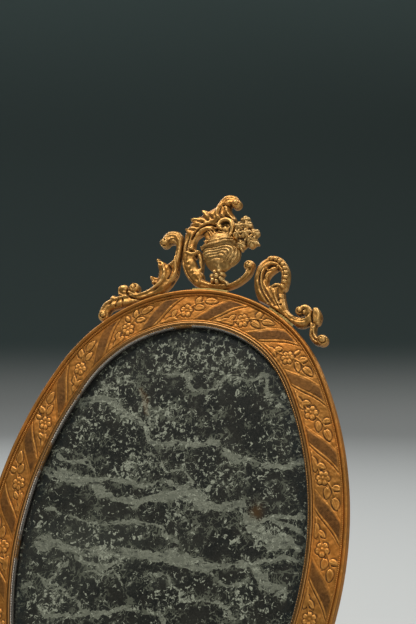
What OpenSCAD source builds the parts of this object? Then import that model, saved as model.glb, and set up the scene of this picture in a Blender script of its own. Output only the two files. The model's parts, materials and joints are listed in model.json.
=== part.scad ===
// Gilt hand mirror with a folding handle that doubles as its stand.
// Millimetres, +Z up. Origin: middle of the handle's flat underside, on the table.
// The head is drawn flat (x right, y towards its crest, z out of its face) and then stood up.

/* [Head] */
// half the width of the oval frame
half_w = 60; // [45:0.5:80]
// half the height of the oval frame
half_h = 84.3; // [64:0.1:110]
// radius of the frame's two end arcs
end_r = 51.3; // [40:0.1:58]
// width of the border from its outer edge to the sight edge
border_w = 12.85; // [9:0.05:20]
// depth of the frame from its face to its back
frame_d = 8.6; // [7.6:0.1:14]
// wall left outside the glass recess
wall_w = 9.5; // [7:0.1:14]
// thickness of the lip in front of the glass
lip_t = 1.6; // [1:0.1:3]
// thickness of the frame's outer edge, in front of its tapered side
edge_t = 1.2; // [0.8:0.1:4]
// how far the frame's side tapers in towards its back
taper = 4.4; // [0:0.1:5]
// thickness of the mirror glass
glass_t = 3; // [2:0.1:5]
// width of the ground bevel round the glass
bevel_w = 5.4; // [3:0.1:8]
// number of ribbon bands round the border
ribbons = 20; // [12:1:28]
// how far the head leans back on its stand
lean = 22.5; // [5:1:35]

/* [Crest] */
// thickness of the crest's pierced back layer
crest_t = 1.7; // [1.5:0.1:4]
// height of the crest's raised edges over the back layer
crest_rim = 1.7; // [0.5:0.1:3]
// thickness of the soldered straps under the crest
strap_t = 0.8; // [0.5:0.1:1.5]

/* [Hinge] */
// distance of the hinge pin below the frame's edge
pin_drop = 8; // [7:0.1:14]
// radius of the hinge pin
pin_r = 1.75; // [1:0.05:3]
// running clearance round the pin
pin_play = 0.05; // [0.01:0.01:0.1]
// half the width of the handle's hinge tongue
tongue_w = 5.8; // [4:0.1:9]
// thickness of each hinge ear
ear_t = 3.4; // [2:0.1:6]
// radius of the hinge knuckles
knuckle_r = 4.6; // [3.5:0.1:6]

/* [Handle] */
// thickness of the handle
handle_t = 10; // [8:0.1:16]
// distance from the hinge pin to the far end of the grip
grip_end = 100; // [80:1:130]
// distance from the hinge pin to the near end of the grip
grip_start = 17; // [15:1:25]
// half the width of the grip where it is widest
grip_half = 17; // [12:0.5:24]
// radius of the hanging hole at the handle's end
hang_r = 3.2; // [2:0.1:5]

/* [Hidden] */
$fn = 48;

gold = [0.72, 0.47, 0.18];
pale_gold = [0.78, 0.62, 0.28];
steel = [0.62, 0.63, 0.65];
gap = 0.05;          // clearance between fitted curved faces
eps = 0.4;           // how far a cutter runs past a face

// four-centre oval
side_r = (half_h * half_h - 2 * half_h * end_r + half_w * half_w) / (2 * (half_w - end_r));
end_c = half_h - end_r;
side_c = side_r - half_w;
join_a = atan2(end_c, side_c);

// stack inside the frame, front to back
glass_front = -lip_t - gap;
glass_back = glass_front - glass_t;
silver_t = 0.15;
felt_t = 0.6;
board_t = 1.6;
plate_t = 1.1;
silver_back = glass_back - silver_t;
felt_back = silver_back - felt_t;
board_back = felt_back - board_t;
plate_back = board_back - plate_t;
recess = wall_w + 2 * gap;
ring_w = 1.9;        // width of the sight ring
ring_h = 0.8;        // how far the sight ring stands over the face
bead_w = 2.2;
bead_h = 1.3;
relief_h = 0.6;

// hinge and stand
pin_v = -(half_h + pin_drop);
pin_n = -frame_d / 2;
pin_z = handle_t / 2;
origin_s = (grip_start + grip_end) / 2;   // table origin, measured along the handle
ear_in = tongue_w + 0.3;
ear_out = ear_in + ear_t;
collar_s = 8.6;

// turn-buttons
button_t = 1.2;
button_gap = 0.35;
button_at = 7;
button_r = 2.6;
button_reach = 8.6;
screw_r = 1;
button_hi = -frame_d - button_gap;
button_lo = button_hi - button_t;
button_turns = [42, 138, 222, 318];       // outward directions on the oval

crest_back = -1 - crest_t;
strap_out = end_r + strap_t;
pin_angles = [109.2, 89.4, 81.8, 57.6, 52.8];

// ---------------------------------------------------------------- oval helpers

// centre of the arc whose outward direction is a
function arc_c(a) =
  a <= join_a || a >= 360 - join_a ? [-side_c, 0] :
  a <= 180 - join_a ? [0, end_c] :
  a <= 180 + join_a ? [side_c, 0] : [0, -end_c];
function arc_r(a) =
  a <= join_a || a >= 360 - join_a ? side_r :
  a <= 180 - join_a ? end_r :
  a <= 180 + join_a ? side_r : end_r;
// point a distance d inside the edge, where the edge faces direction a
function oval_pt(a, d) = arc_c(a) + (arc_r(a) - d) * [cos(a), sin(a)];
// direction at a run s along a line d inside the edge, clockwise from the top
function len_end(d) = (end_r - d) * (90 - join_a) * PI / 180;
function len_side(d) = (side_r - d) * 2 * join_a * PI / 180;
function oval_len(d) = 4 * len_end(d) + 2 * len_side(d);
function deg_on(s, r) = s / r * 180 / PI;
function wrap(a) = a < 0 ? a + 360 : a;
function dir_half(s, d) =
  s < len_end(d) ? 90 - deg_on(s, end_r - d) :
  s < len_end(d) + len_side(d) ? join_a - deg_on(s - len_end(d), side_r - d) :
  -join_a - deg_on(s - len_end(d) - len_side(d), end_r - d);
function dir_at(s, d) =
  s < 0 ? dir_at(s + oval_len(d), d) :
  s > oval_len(d) / 2 ? wrap(180 - dir_half(oval_len(d) - s, d)) : wrap(dir_half(s, d));

module oval_arc(c, r, a0, a1) {
  translate([c[0], c[1], 0])
    rotate([0, 0, a0])
      rotate_extrude(angle = a1 - a0, $fn = 360)
        translate([r, 0])
          children();
}

// sweeps a profile round the oval: x = distance outside the edge, y = height
module oval_ring() {
  oval_arc([-side_c, 0], side_r, -join_a, join_a) children();
  oval_arc([0, end_c], end_r, join_a, 180 - join_a) children();
  oval_arc([side_c, 0], side_r, 180 - join_a, 180 + join_a) children();
  oval_arc([0, -end_c], end_r, 180 + join_a, 360 - join_a) children();
}

// flat plate with its edge d inside the oval
module oval_plate(d, lo, hi) {
  translate([0, 0, lo])
    linear_extrude(height = hi - lo)
      polygon([for (i = [0:119]) oval_pt(i * 3, d)]);
}

// the same plate with its front edge ground back over a width w
module bevelled_plate(d, lo, mid, hi, w) {
  n = 120;
  step = 360 / n;
  edge = [for (i = [0:n - 1]) oval_pt(i * step, d)];
  inner = [for (i = [0:n - 1]) oval_pt(i * step, d + w)];
  polyhedron(
    points = concat(
      [for (q = edge) [q[0], q[1], lo]],
      [for (q = edge) [q[0], q[1], mid]],
      [for (q = inner) [q[0], q[1], hi]]),
    faces = concat(
      [[for (i = [0:n - 1]) i]],
      [for (r = [0:1]) for (i = [0:n - 1])
        [r * n + (i + 1) % n, r * n + i, (r + 1) * n + i, (r + 1) * n + (i + 1) % n]],
      [[for (i = [n - 1:-1:0]) 2 * n + i]]));
}

// stands the flat-drawn head up over the table, leaning back about the hinge pin
module on_head() {
  translate([0, -origin_s, pin_z])
    rotate([90 - lean, 0, 0])
      translate([0, -pin_v, -pin_n])
        children();
}

// puts a piece drawn from the hinge pin along y on the table
module on_handle() {
  translate([0, -origin_s, 0])
    children();
}

// ---------------------------------------------------------------- curve helpers

function cr(a, b, c, d, t) =
  0.5 * (2 * b + (c - a) * t + (2 * a - 5 * b + 4 * c - d) * t * t
  + (3 * b - a - 3 * c + d) * t * t * t);
// smooth run through points [x, y, half width]
function run(p, n = 3) = concat(
  [for (i = [0:len(p) - 2]) for (k = [0:n - 1])
    cr(p[max(i - 1, 0)], p[i], p[i + 1], p[min(i + 2, len(p) - 1)], k / n)],
  [p[len(p) - 1]]);
function flat(v) = [v[0], v[1]];
function unit(v) = v / max(norm(v), 0.0001);
function side_of(s, i) =
  let (t = unit(flat(s[min(i + 1, len(s) - 1)]) - flat(s[max(i - 1, 0)]))) [-t[1], t[0]];
function outline(s, k) = concat(
  [for (i = [0:len(s) - 1]) flat(s[i]) + k * s[i][2] * side_of(s, i)],
  [for (i = [len(s) - 1:-1:0]) flat(s[i]) - k * s[i][2] * side_of(s, i)]);

module stroke(p, lo, hi, k = 1) {
  translate([0, 0, lo])
    linear_extrude(height = hi - lo)
      polygon(outline(run(p), k));
}

// a rib: full width below, narrower on top
module rib(p, lo, hi, top) {
  stroke(p, lo, hi);
  stroke(p, hi - 0.1, top, 0.62);
}

// a round boss with a domed front
module boss(x, y, r, lo, hi) {
  translate([x, y, lo])
    cylinder(r = r, h = hi - lo - r * 0.4);
  translate([x, y, hi - r * 0.4 - 0.001])
    cylinder(r1 = r, r2 = r * 0.45, h = r * 0.4);
}

module radial_pins(angles, r, from, to) {
  for (a = angles)
    translate([0, end_c, crest_back + crest_t / 2])
      rotate([0, 0, a])
        translate([from, 0, 0])
          rotate([0, 90, 0])
            cylinder(r = r, h = to - from, $fn = 24);
}

// keeps a crest casting off the frame and its strap
module clear_of_rim() {
  translate([0, end_c, -20])
    cylinder(r = strap_out + gap, h = 40, $fn = 360);
}

module strap(a0, a1) {
  difference() {
    oval_arc([0, end_c], end_r, a0, a1)
      translate([gap, crest_back - 0.6])
        square([strap_t - gap, crest_t + 1.2]);
    radial_pins(pin_angles, 0.56, end_r - 5, end_r + 5);
  }
}

module at_button(i) {
  a = button_turns[i];
  p = oval_pt(a, button_at);
  translate([p[0], p[1], 0])
    rotate([0, 0, a])
      children();
}

// ---------------------------------------------------------------- head pieces

ribbon_pitch = oval_len(6.6) / ribbons;
ribbon_from = -12.6;       // run of the first band from the top of the oval
ribbon_w = 5.6;
ribbon_slant = 5.5;

// one low diagonal band across the border
module ribbon(i) {
  s = ribbon_from + i * ribbon_pitch;
  o = 2.9;
  e = wall_w + 0.9;
  a1 = oval_pt(dir_at(s + ribbon_slant - ribbon_w / 2, 6.6), o);
  a2 = oval_pt(dir_at(s + ribbon_slant + ribbon_w / 2, 6.6), o);
  b1 = oval_pt(dir_at(s - ribbon_slant + ribbon_w / 2, 6.6), e);
  b2 = oval_pt(dir_at(s - ribbon_slant - ribbon_w / 2, 6.6), e);
  translate([0, 0, -0.3])
    linear_extrude(height = 0.3 + relief_h * 0.6)
      polygon([a1, a2, b1, b2]);
}

// one blossom between two bands
module blossom(i) {
  s = ribbon_from + (i + 0.5) * ribbon_pitch;
  p = oval_pt(dir_at(s, 6.6), 6.6);
  translate([p[0], p[1], -0.3])
    cylinder(r1 = 2, r2 = 1.2, h = 0.3 + relief_h, $fn = 24);
}

module front_frame() {
  color(gold)
    on_head()
      difference() {
        union() {
          oval_ring()
            polygon([
              [-taper, -frame_d], [0, -edge_t], [0, 0], [-border_w + ring_w + gap, 0],
              [-border_w + ring_w + gap, -lip_t], [-wall_w, -lip_t],
              [-wall_w, -frame_d]
            ]);
          for (i = [0:ribbons - 1])
            ribbon(i);
          for (i = [0:ribbons - 1])
            blossom(i);
        }
        radial_pins(pin_angles, 0.56, end_r - 4.1, end_r + 5);
        for (i = [0:3])
          at_button(i)
            translate([0, 0, -frame_d - eps])
              cylinder(r = screw_r + 0.02, h = 4.5 + eps, $fn = 24);
        for (x = [-9, 9])
          translate([x, -half_h + 7.2, -frame_d - eps])
            cylinder(r = 1.22, h = 5 + eps, $fn = 24);
      }
}

module rim_bead() {
  color(gold)
    on_head()
      oval_ring()
        polygon([
          [-0.05, gap / 2], [-0.05, 0.5], [-0.35, 1.0], [-0.8, bead_h],
          [-1.4, bead_h], [-1.85, 1.0], [-bead_w, 0.5], [-bead_w, gap / 2]
        ]);
}

module sight_ring() {
  color(steel)
    on_head()
      oval_ring()
        polygon([
          [-border_w + ring_w, -lip_t], [-border_w + ring_w, 0.4],
          [-border_w + ring_w - 0.4, ring_h], [-border_w + 0.9, ring_h],
          [-border_w + 0.3, 0.3], [-border_w, -0.4], [-border_w, -lip_t]
        ]);
}

module mirror_glass() {
  color([0.16, 0.18, 0.17])
    on_head()
      bevelled_plate(recess, glass_back, glass_front - 0.7, glass_front, bevel_w);
}

module silvering() {
  color([0.3, 0.33, 0.31])
    on_head()
      oval_plate(recess + 0.3, silver_back, glass_back);
}

module packing_felt() {
  color([0.25, 0.12, 0.1])
    on_head()
      oval_plate(recess + 0.2, felt_back, silver_back);
}

module backing_board() {
  color([0.5, 0.34, 0.2])
    on_head()
      oval_plate(recess + 0.2, board_back, felt_back);
}

module back_plate() {
  color(pale_gold)
    on_head()
      oval_plate(recess, plate_back, board_back);
}

// pivots on its screw, tail over the back plate
module turn_button(i) {
  color(pale_gold)
    on_head()
      at_button(i)
        difference() {
          union() {
            translate([0, 0, button_lo])
              cylinder(r = button_r, h = button_t);
            translate([-button_reach, 0, button_lo])
              cylinder(r = 1.7, h = button_t);
            translate([0, 0, button_lo])
              linear_extrude(height = button_t)
                polygon([
                  [0, -2.3], [-button_reach, -1.7],
                  [-button_reach, 1.7], [0, 2.3]
                ]);
          }
          translate([0, 0, button_lo - eps])
            cylinder(r = screw_r + pin_play, h = button_t + 2 * eps, $fn = 24);
        }
}

module turn_button_1() { turn_button(0); }
module turn_button_2() { turn_button(1); }
module turn_button_3() { turn_button(2); }
module turn_button_4() { turn_button(3); }

module turn_screws() {
  color(steel)
    on_head()
      for (i = [0:3])
        at_button(i)
          difference() {
            union() {
              translate([0, 0, button_lo - 0.1])
                cylinder(r = screw_r, h = 4 + button_t + button_gap, $fn = 24);
              translate([0, 0, button_lo - 1.3])
                cylinder(r1 = 1.5, r2 = 2.1, h = 1.2);
            }
            translate([-3, -0.3, button_lo - 1.5])
              cube([6, 0.6, 0.7]);
          }
}

module strap_left() {
  color(pale_gold)
    on_head()
      strap(105.4, 113.5);
}

module strap_centre() {
  color(pale_gold)
    on_head()
      strap(79.2, 92.9);
}

module strap_right() {
  color(pale_gold)
    on_head()
      strap(51.2, 61.2);
}

// ---------------------------------------------------------------- crest pieces

left_stem = [
  [-33, 76.6, 1.8], [-31.9, 79, 1.9], [-28.4, 80.5, 2.1], [-24, 81.3, 2.2],
  [-20, 82.1, 1.8], [-16, 84.1, 2], [-12.9, 87.5, 2.5], [-11.7, 91.2, 2.6],
  [-10.1, 94.8, 1.15], [-9.9, 98, 1], [-10.2, 101, 1.2], [-11.6, 103.2, 2.1],
  [-13.8, 103.5, 2.3], [-15.4, 102.3, 1.5]
];
left_thorn_hi = [[-12.6, 91.2, 1.8], [-15.1, 93.4, 1], [-16.8, 95.4, 0.4]];
left_thorn_lo = [[-14.2, 87.2, 1.6], [-16.6, 88, 1.1], [-18, 89.2, 0.4]];
left_web = [[-15.9, 94.3, 0.7], [-14, 92.4, 1.5], [-13.7, 90, 1.4], [-14.2, 88, 1.5]];
left_lobe = [[-22.6, 82.6, 1.2], [-24.9, 83.6, 1.7], [-27.4, 83.8, 1.8], [-28, 85, 1.3]];

module crest_left_scroll() {
  color(gold)
    on_head()
      difference() {
        union() {
          rib(left_stem, crest_back, -1, crest_rim - 1);
          stroke(left_thorn_hi, crest_back, -1);
          stroke(left_thorn_lo, crest_back, -1);
          stroke(left_web, crest_back, -1);
          rib(left_lobe, crest_back, -1, crest_rim - 1);
          boss(-15.4, 101.9, 1.7, crest_back, 1.2);
          boss(-33, 75.5, 1.9, crest_back, 1);
          boss(-23.8, 85.2, 1.9, crest_back, 1);
          boss(-27.4, 84.5, 1.9, crest_back, 0.7);
          boss(-30.2, 81.2, 1.5, crest_back, 0.5);
        }
        clear_of_rim();
        radial_pins([pin_angles[0]], 0.56, end_r, end_r + 3);
      }
}

cart_rim = [
  [7.6, 115.2, 1.5], [6.4, 116.3, 1.8], [4.7, 116.2, 2.1], [3.5, 114.6, 2.3],
  [2.9, 112.2, 2.9], [-0.3, 110, 3], [-3.8, 107.8, 2.8], [-6.3, 104.9, 2.2],
  [-6.9, 101.5, 1.6], [-6.8, 97.5, 1.6], [-5.8, 93.6, 2], [-3.8, 90.2, 2],
  [-1.1, 87.6, 1.6]
];
cart_base = [
  [-3.2, 89, 1.6], [-1.1, 87.4, 1.6], [2.5, 86.1, 1.3], [6.5, 85.7, 1], [10, 85.9, 0.9],
  [13, 87.3, 0.9], [15.5, 89.9, 1.1], [15.9, 92.2, 1.4]
];
cart_inner = [
  [0.4, 107, 1.3], [-2.8, 105.6, 1.1], [-4.9, 102.6, 0.9], [-5, 99.3, 1],
  [-2.9, 97.7, 0.8], [-1.5, 95.4, 0.7], [-1.1, 92, 0.7], [-1.2, 88.8, 0.8]
];
cart_web = [[0.2, 109, 2.4], [3.6, 108.4, 3], [6.3, 107, 2.5], [8, 105, 2.4], [9, 103.4, 2.6]];
cart_bud = [[-0.6, 104.6, 1.5], [1.6, 103.2, 2.4], [4.6, 102.6, 2.4], [8, 102.6, 1.8]];
cart_spine = [[4.4, 102, 2.6], [5.3, 98, 2], [5.6, 93, 1.4], [5.8, 89, 1.5], [6, 85.8, 2.4]];
cart_volute = [[7.2, 103, 0.8], [7.2, 106, 0.9], [5.6, 108, 0.9], [3.9, 107, 0.8]];
cart_shell_a = [[-4.2, 108.6, 1.5], [-5.6, 109.2, 1], [-6.9, 109.4, 0.5]];
cart_shell_b = [[-1.6, 110.8, 1.5], [-2.4, 111.8, 1], [-3.4, 112.4, 0.5]];
cart_shell_c = [[-6.6, 104.6, 1.3], [-7.4, 105.4, 0.9], [-8.3, 105.9, 0.4]];

module crest_cartouche() {
  color(gold)
    on_head()
      difference() {
        union() {
          rib(cart_rim, crest_back, -1, crest_rim - 1);
          stroke(cart_base, crest_back, -1);
          stroke(cart_inner, crest_back, -1);
          stroke(cart_web, crest_back, -1);
          stroke(cart_bud, crest_back, -1);
          stroke(cart_spine, crest_back, -1);
          stroke(cart_volute, -1.5, crest_rim - 1);
          stroke(cart_shell_a, crest_back, -0.6);
          stroke(cart_shell_b, crest_back, -0.6);
          stroke(cart_shell_c, crest_back, -0.6);
          boss(7.6, 115.1, 1.6, crest_back, 1.3);
          boss(2.4, 103.7, 1.5, -1.5, 1);
          boss(4.1, 106.4, 1, -1.5, 1);
          boss(15.6, 93.1, 1.8, crest_back, 0.8);
        }
        clear_of_rim();
        radial_pins([pin_angles[1], pin_angles[2]], 0.56, end_r, end_r + 2.4);
      }
}

right_loop = [
  [28.6, 85.3, 1.1], [28.8, 88.4, 1.2], [28, 91.2, 1.4], [26, 93.6, 1.6],
  [23.3, 94.3, 1.6], [21, 92.9, 1.7], [20, 90, 1.8], [20.4, 87, 2.1],
  [21.8, 84, 2.6], [23.9, 81.5, 3], [26.2, 79.2, 3], [28.3, 77, 2.5],
  [30.8, 75.3, 1.8], [33.5, 74, 1.4], [36.4, 73.4, 1.4], [38.7, 74.3, 1.3]
];
right_inner = [
  [25.3, 92.2, 0.8], [23.2, 90.7, 1], [22, 88.6, 1], [22.2, 86, 1.2],
  [23.8, 83.9, 1.3], [26.4, 84.6, 1.2], [28.5, 85.2, 0.9]
];
right_leaf = [[27.2, 84.2, 1.6], [27.9, 81.6, 1.5], [28.6, 79, 1.7], [29.8, 77.4, 1.2]];
right_lobe = [[40.4, 77.2, 1.1], [40.9, 75.4, 1.5], [41.1, 73.7, 1.1]];
right_arch = [[38.4, 74.3, 1.3], [38.1, 77, 1.2], [36.8, 78.3, 1], [35.4, 77.7, 0.9]];
right_drop = [
  [39.4, 76.4, 1.2], [40, 73.6, 1.2], [40.1, 71, 1], [40.5, 68.8, 1.1],
  [41.9, 67.4, 1.1], [43.4, 67.1, 1.1]
];

module crest_right_scroll() {
  color(gold)
    on_head()
      difference() {
        union() {
          rib(right_loop, crest_back, -1, crest_rim - 1);
          stroke(right_inner, crest_back, -1.2);
          stroke(right_leaf, crest_back, -0.5);
          stroke(right_arch, crest_back, -0.4);
          stroke(right_lobe, crest_back, -0.7);
          stroke(right_drop, crest_back, -0.7);
          boss(35.3, 76.8, 1.6, crest_back, 0.8);
          boss(41.1, 75.7, 1.7, crest_back, 0.8);
          boss(43.8, 67.6, 1.7, crest_back, 0.8);
        }
        clear_of_rim();
        radial_pins([pin_angles[3], pin_angles[4]], 0.56, end_r, end_r + 2.4);
        translate([15.6, 93.1, crest_back - 1])
          cylinder(r = 2.1, h = crest_t + 4);
      }
}

vase_side = [
  [4.8, 101, 4.7], [4.7, 99.6, 5.4], [5.1, 97.4, 5.8], [5.6, 95.4, 5.1],
  [5.9, 93.8, 3.5], [5.9, 92.3, 2.2]
];

module flower_vase() {
  color(gold)
    on_head() {
      stroke(vase_side, -0.95, 0.6);
      stroke(vase_side, 0.5, 1.6, 0.8);
      stroke(vase_side, 1.5, 2.3, 0.55);
    }
}

module petal_lobe(x, y, r, hi) {
  translate([x, y, -0.95])
    cylinder(r1 = r, r2 = r * 0.5, h = hi + 0.95, $fn = 24);
}

module bouquet() {
  color(pale_gold)
    on_head() {
      petal_lobe(12.2, 108.6, 1.8, 1.2);
      petal_lobe(13.3, 106.5, 1.9, 1.6);
      petal_lobe(10.7, 106.2, 2.1, 1.8);
      petal_lobe(10.8, 103.6, 2.1, 2);
      petal_lobe(13.4, 103.6, 2.1, 2.2);
      petal_lobe(16.2, 103.7, 1.9, 1.4);
      petal_lobe(14.9, 102, 1.8, 1.7);
      petal_lobe(12.4, 99.7, 1.9, 1.5);
      petal_lobe(15.9, 100.6, 2.1, 1.2);
    }
}

module vase_rosette() {
  color(pale_gold)
    on_head() {
      translate([5.7, 88.8, -0.95])
        cylinder(r = 1.3, h = 2.9, $fn = 24);
      for (k = [0:5])
        translate([5.7 + 1.75 * cos(60 * k + 30), 88.8 + 1.75 * sin(60 * k + 30), -0.95])
          cylinder(r1 = 1.25, r2 = 0.9, h = 2.3, $fn = 24);
    }
}

module crest_pins() {
  color(steel)
    on_head()
      radial_pins(pin_angles, 0.54, end_r - 4, end_r + 2.2);
}

// ---------------------------------------------------------------- hinge pieces

module hinge_block() {
  color(gold)
    on_head()
      difference() {
        union() {
          // saddle under the frame's edge
          translate([-ear_out, pin_v + knuckle_r + 0.5, -frame_d])
            cube([2 * ear_out, 6, frame_d]);
          // flange screwed to the frame's back
          translate([-13, -half_h + 3.4, -frame_d - 2])
            cube([26, 6.2, 2 - gap]);
          translate([-ear_out, pin_v + knuckle_r + 3.2, -frame_d - 2])
            cube([2 * ear_out, 4, 2]);
          // ears round the pin
          for (side = [-1, 1])
            translate([side * (ear_in + ear_t / 2) - ear_t / 2, pin_v, pin_n])
              rotate([0, 90, 0])
                cylinder(r = knuckle_r, h = ear_t);
          for (side = [-1, 1])
            translate([side * (ear_in + ear_t / 2) - ear_t / 2, pin_v, pin_n - knuckle_r + 0.6])
              cube([ear_t, pin_drop - 0.5, 2 * knuckle_r - 1.2]);
        }
        translate([0, -end_c, 0])
          rotate_extrude($fn = 360)
            polygon([
              [0, -frame_d - gap], [end_r - taper + gap, -frame_d - gap],
              [end_r + gap, -edge_t - gap], [end_r + gap, 4], [0, 4]
            ]);
        translate([-ear_out - 1, pin_v, pin_n])
          rotate([0, 90, 0])
            cylinder(r = pin_r, h = 2 * ear_out + 2, $fn = 48);
        for (x = [-9, 9])
          translate([x, -half_h + 7.2, -frame_d - 3])
            cylinder(r = 1.25, h = 4, $fn = 24);
      }
}

module hinge_screws() {
  color(steel)
    on_head()
      for (x = [-9, 9])
        translate([x, -half_h + 7.2, 0])
          difference() {
            union() {
              translate([0, 0, -frame_d - 2 - 0.1])
                cylinder(r = 1.2, h = 6.4, $fn = 24);
              translate([0, 0, -frame_d - 2 - 1.25])
                cylinder(r1 = 1.6, r2 = 2.3, h = 1.2);
            }
            translate([-0.3, -3, -frame_d - 2 - 1.5])
              cube([0.6, 6, 0.8]);
          }
}

module hinge_pin() {
  color(steel)
    on_head()
      translate([-ear_out - 0.5, pin_v, pin_n])
        rotate([0, 90, 0]) {
          cylinder(r = pin_r, h = 2 * ear_out + 1, $fn = 48);
          translate([0, 0, -0.9])
            cylinder(r1 = 1.5, r2 = 2.5, h = 0.9);
          translate([0, 0, 2 * ear_out + 1])
            cylinder(r1 = 2.5, r2 = 1.5, h = 0.9);
        }
}

// ---------------------------------------------------------------- handle pieces

module handle_knuckle() {
  color(gold)
    on_handle()
      difference() {
        union() {
          translate([-tongue_w, 0, pin_z])
            rotate([0, 90, 0])
              cylinder(r = knuckle_r, h = 2 * tongue_w);
          translate([-tongue_w, 0, pin_z - knuckle_r])
            cube([2 * tongue_w, collar_s + 1, 2 * knuckle_r - 2.2]);
          translate([-11, collar_s, 0.6])
            cube([22, 3.2, handle_t - 1.6]);
          // tang inside the grip
          translate([-4.5, collar_s + 3, pin_z - 1.5])
            cube([9, 58, 3]);
        }
        translate([-tongue_w - 1, 0, pin_z])
          rotate([0, 90, 0])
            cylinder(r = pin_r + pin_play, h = 2 * tongue_w + 2, $fn = 48);
        for (s = [28, 62])
          translate([0, s, 0])
            cylinder(r = 1.52, h = handle_t, $fn = 24);
      }
}

module handle_ferrule() {
  color(pale_gold)
    on_handle()
      difference() {
        translate([-12, collar_s + 3.2 + gap, 0])
          cube([24, grip_start - collar_s - 3.2 - 2 * gap, handle_t]);
        translate([-4.6, collar_s, pin_z - 1.6])
          cube([9.2, 20, 3.2]);
      }
}

grip_run = [
  [0, grip_start, 9], [0, 24, 9.6], [0, 33, 13], [0, 44, grip_half],
  [0, 56, grip_half - 1.4], [0, 68, 12.6], [0, 79, 11], [0, 90, 12.6],
  [0, grip_end, 15]
];

module grip_shape(lo, hi, inset) {
  translate([0, 0, lo])
    linear_extrude(height = hi - lo)
      polygon(outline([for (p = run(grip_run))
        [p[0], grip_start + inset + (p[1] - grip_start)
        * (grip_end - grip_start - 2 * inset) / (grip_end - grip_start), p[2] - inset]], 1));
}

module grip_front() {
  color(gold)
    on_handle()
      difference() {
        grip_shape(0, handle_t / 2 - gap / 2, 0);
        grip_shape(1.6, handle_t, 2.2);
        translate([-4.6, grip_start - 1, pin_z - 1.6])
          cube([9.2, 6, 3.2]);
        for (s = [28, 62, 92])
          translate([0, s, -1])
            cylinder(r = 1.52, h = handle_t, $fn = 24);
      }
}

module grip_back() {
  color(gold)
    on_handle()
      difference() {
        union() {
          grip_shape(handle_t / 2 + gap / 2, handle_t - 0.8, 0);
          grip_shape(handle_t - 0.9, handle_t, 1.2);
          // raised oval on the handle's back
          translate([0, 46, handle_t - 0.2])
            cylinder(r1 = 9, r2 = 8, h = 0.9);
          translate([0, 79, handle_t - 0.2])
            cylinder(r1 = 5, r2 = 4, h = 0.9);
        }
        grip_shape(0, handle_t - 1.8, 2.2);
        translate([-4.6, grip_start - 1, pin_z - 1.6])
          cube([9.2, 6, 3.2]);
        for (s = [28, 62, 92])
          translate([0, s, 0])
            cylinder(r = 1.52, h = handle_t + 2, $fn = 24);
      }
}

module handle_core() {
  color([0.45, 0.3, 0.18])
    on_handle()
      difference() {
        grip_shape(1.7, handle_t - 1.9, 2.4);
        translate([-4.6, 0, pin_z - 1.6])
          cube([9.2, collar_s + 62, 3.2]);
        for (s = [28, 62, 92])
          translate([0, s, -1])
            cylinder(r = 1.52, h = handle_t + 2, $fn = 24);
      }
}

module end_scroll() {
  color(gold)
    on_handle()
      difference() {
        union() {
          translate([-12, grip_end + gap, 0])
            cube([24, 4, handle_t - 0.8]);
          translate([0, grip_end + 10, 0])
            cylinder(r = 8.4, h = handle_t - 1.6);
          for (side = [-1, 1])
            translate([side * 11, grip_end + 5.2, 0])
              cylinder(r = 5, h = handle_t);
        }
        translate([0, grip_end + 12, -1])
          cylinder(r = hang_r, h = handle_t + 2, $fn = 48);
      }
}

module grip_rivets() {
  color(steel)
    on_handle() {
      for (s = [28, 92])
        translate([0, s, 0.3])
          cylinder(r = 1.5, h = handle_t + 0.1, $fn = 24);
      translate([0, 62, 0.3])
        cylinder(r = 1.5, h = handle_t + 0.1, $fn = 24);
    }
}

front_frame();
rim_bead();
sight_ring();
mirror_glass();
silvering();
packing_felt();
backing_board();
back_plate();
turn_button_1();
turn_button_2();
turn_button_3();
turn_button_4();
turn_screws();
strap_left();
strap_centre();
strap_right();
crest_left_scroll();
crest_cartouche();
crest_right_scroll();
flower_vase();
bouquet();
vase_rosette();
crest_pins();
hinge_block();
hinge_screws();
hinge_pin();
handle_knuckle();
handle_ferrule();
handle_core();
grip_front();
grip_back();
end_scroll();
grip_rivets();
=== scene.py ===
import json
import math

import bpy
import numpy as np
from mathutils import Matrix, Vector


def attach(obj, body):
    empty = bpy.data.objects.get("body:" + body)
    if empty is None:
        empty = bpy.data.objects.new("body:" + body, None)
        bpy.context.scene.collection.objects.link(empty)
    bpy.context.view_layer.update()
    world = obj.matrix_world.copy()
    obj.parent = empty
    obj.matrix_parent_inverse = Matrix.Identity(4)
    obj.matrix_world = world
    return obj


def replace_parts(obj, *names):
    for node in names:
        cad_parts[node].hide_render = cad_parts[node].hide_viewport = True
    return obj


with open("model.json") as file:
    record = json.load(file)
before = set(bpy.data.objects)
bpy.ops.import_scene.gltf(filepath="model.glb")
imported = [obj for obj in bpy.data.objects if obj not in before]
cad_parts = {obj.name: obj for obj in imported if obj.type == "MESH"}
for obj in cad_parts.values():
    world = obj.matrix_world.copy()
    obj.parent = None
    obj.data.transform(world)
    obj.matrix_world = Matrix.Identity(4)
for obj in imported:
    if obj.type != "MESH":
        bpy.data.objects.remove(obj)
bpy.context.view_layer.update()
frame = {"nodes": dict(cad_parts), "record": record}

# Everything on the head is drawn in its own flat frame, in millimetres:
# u to the right, v towards the crest, n out of the face.  The sizes repeat part.scad.

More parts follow.
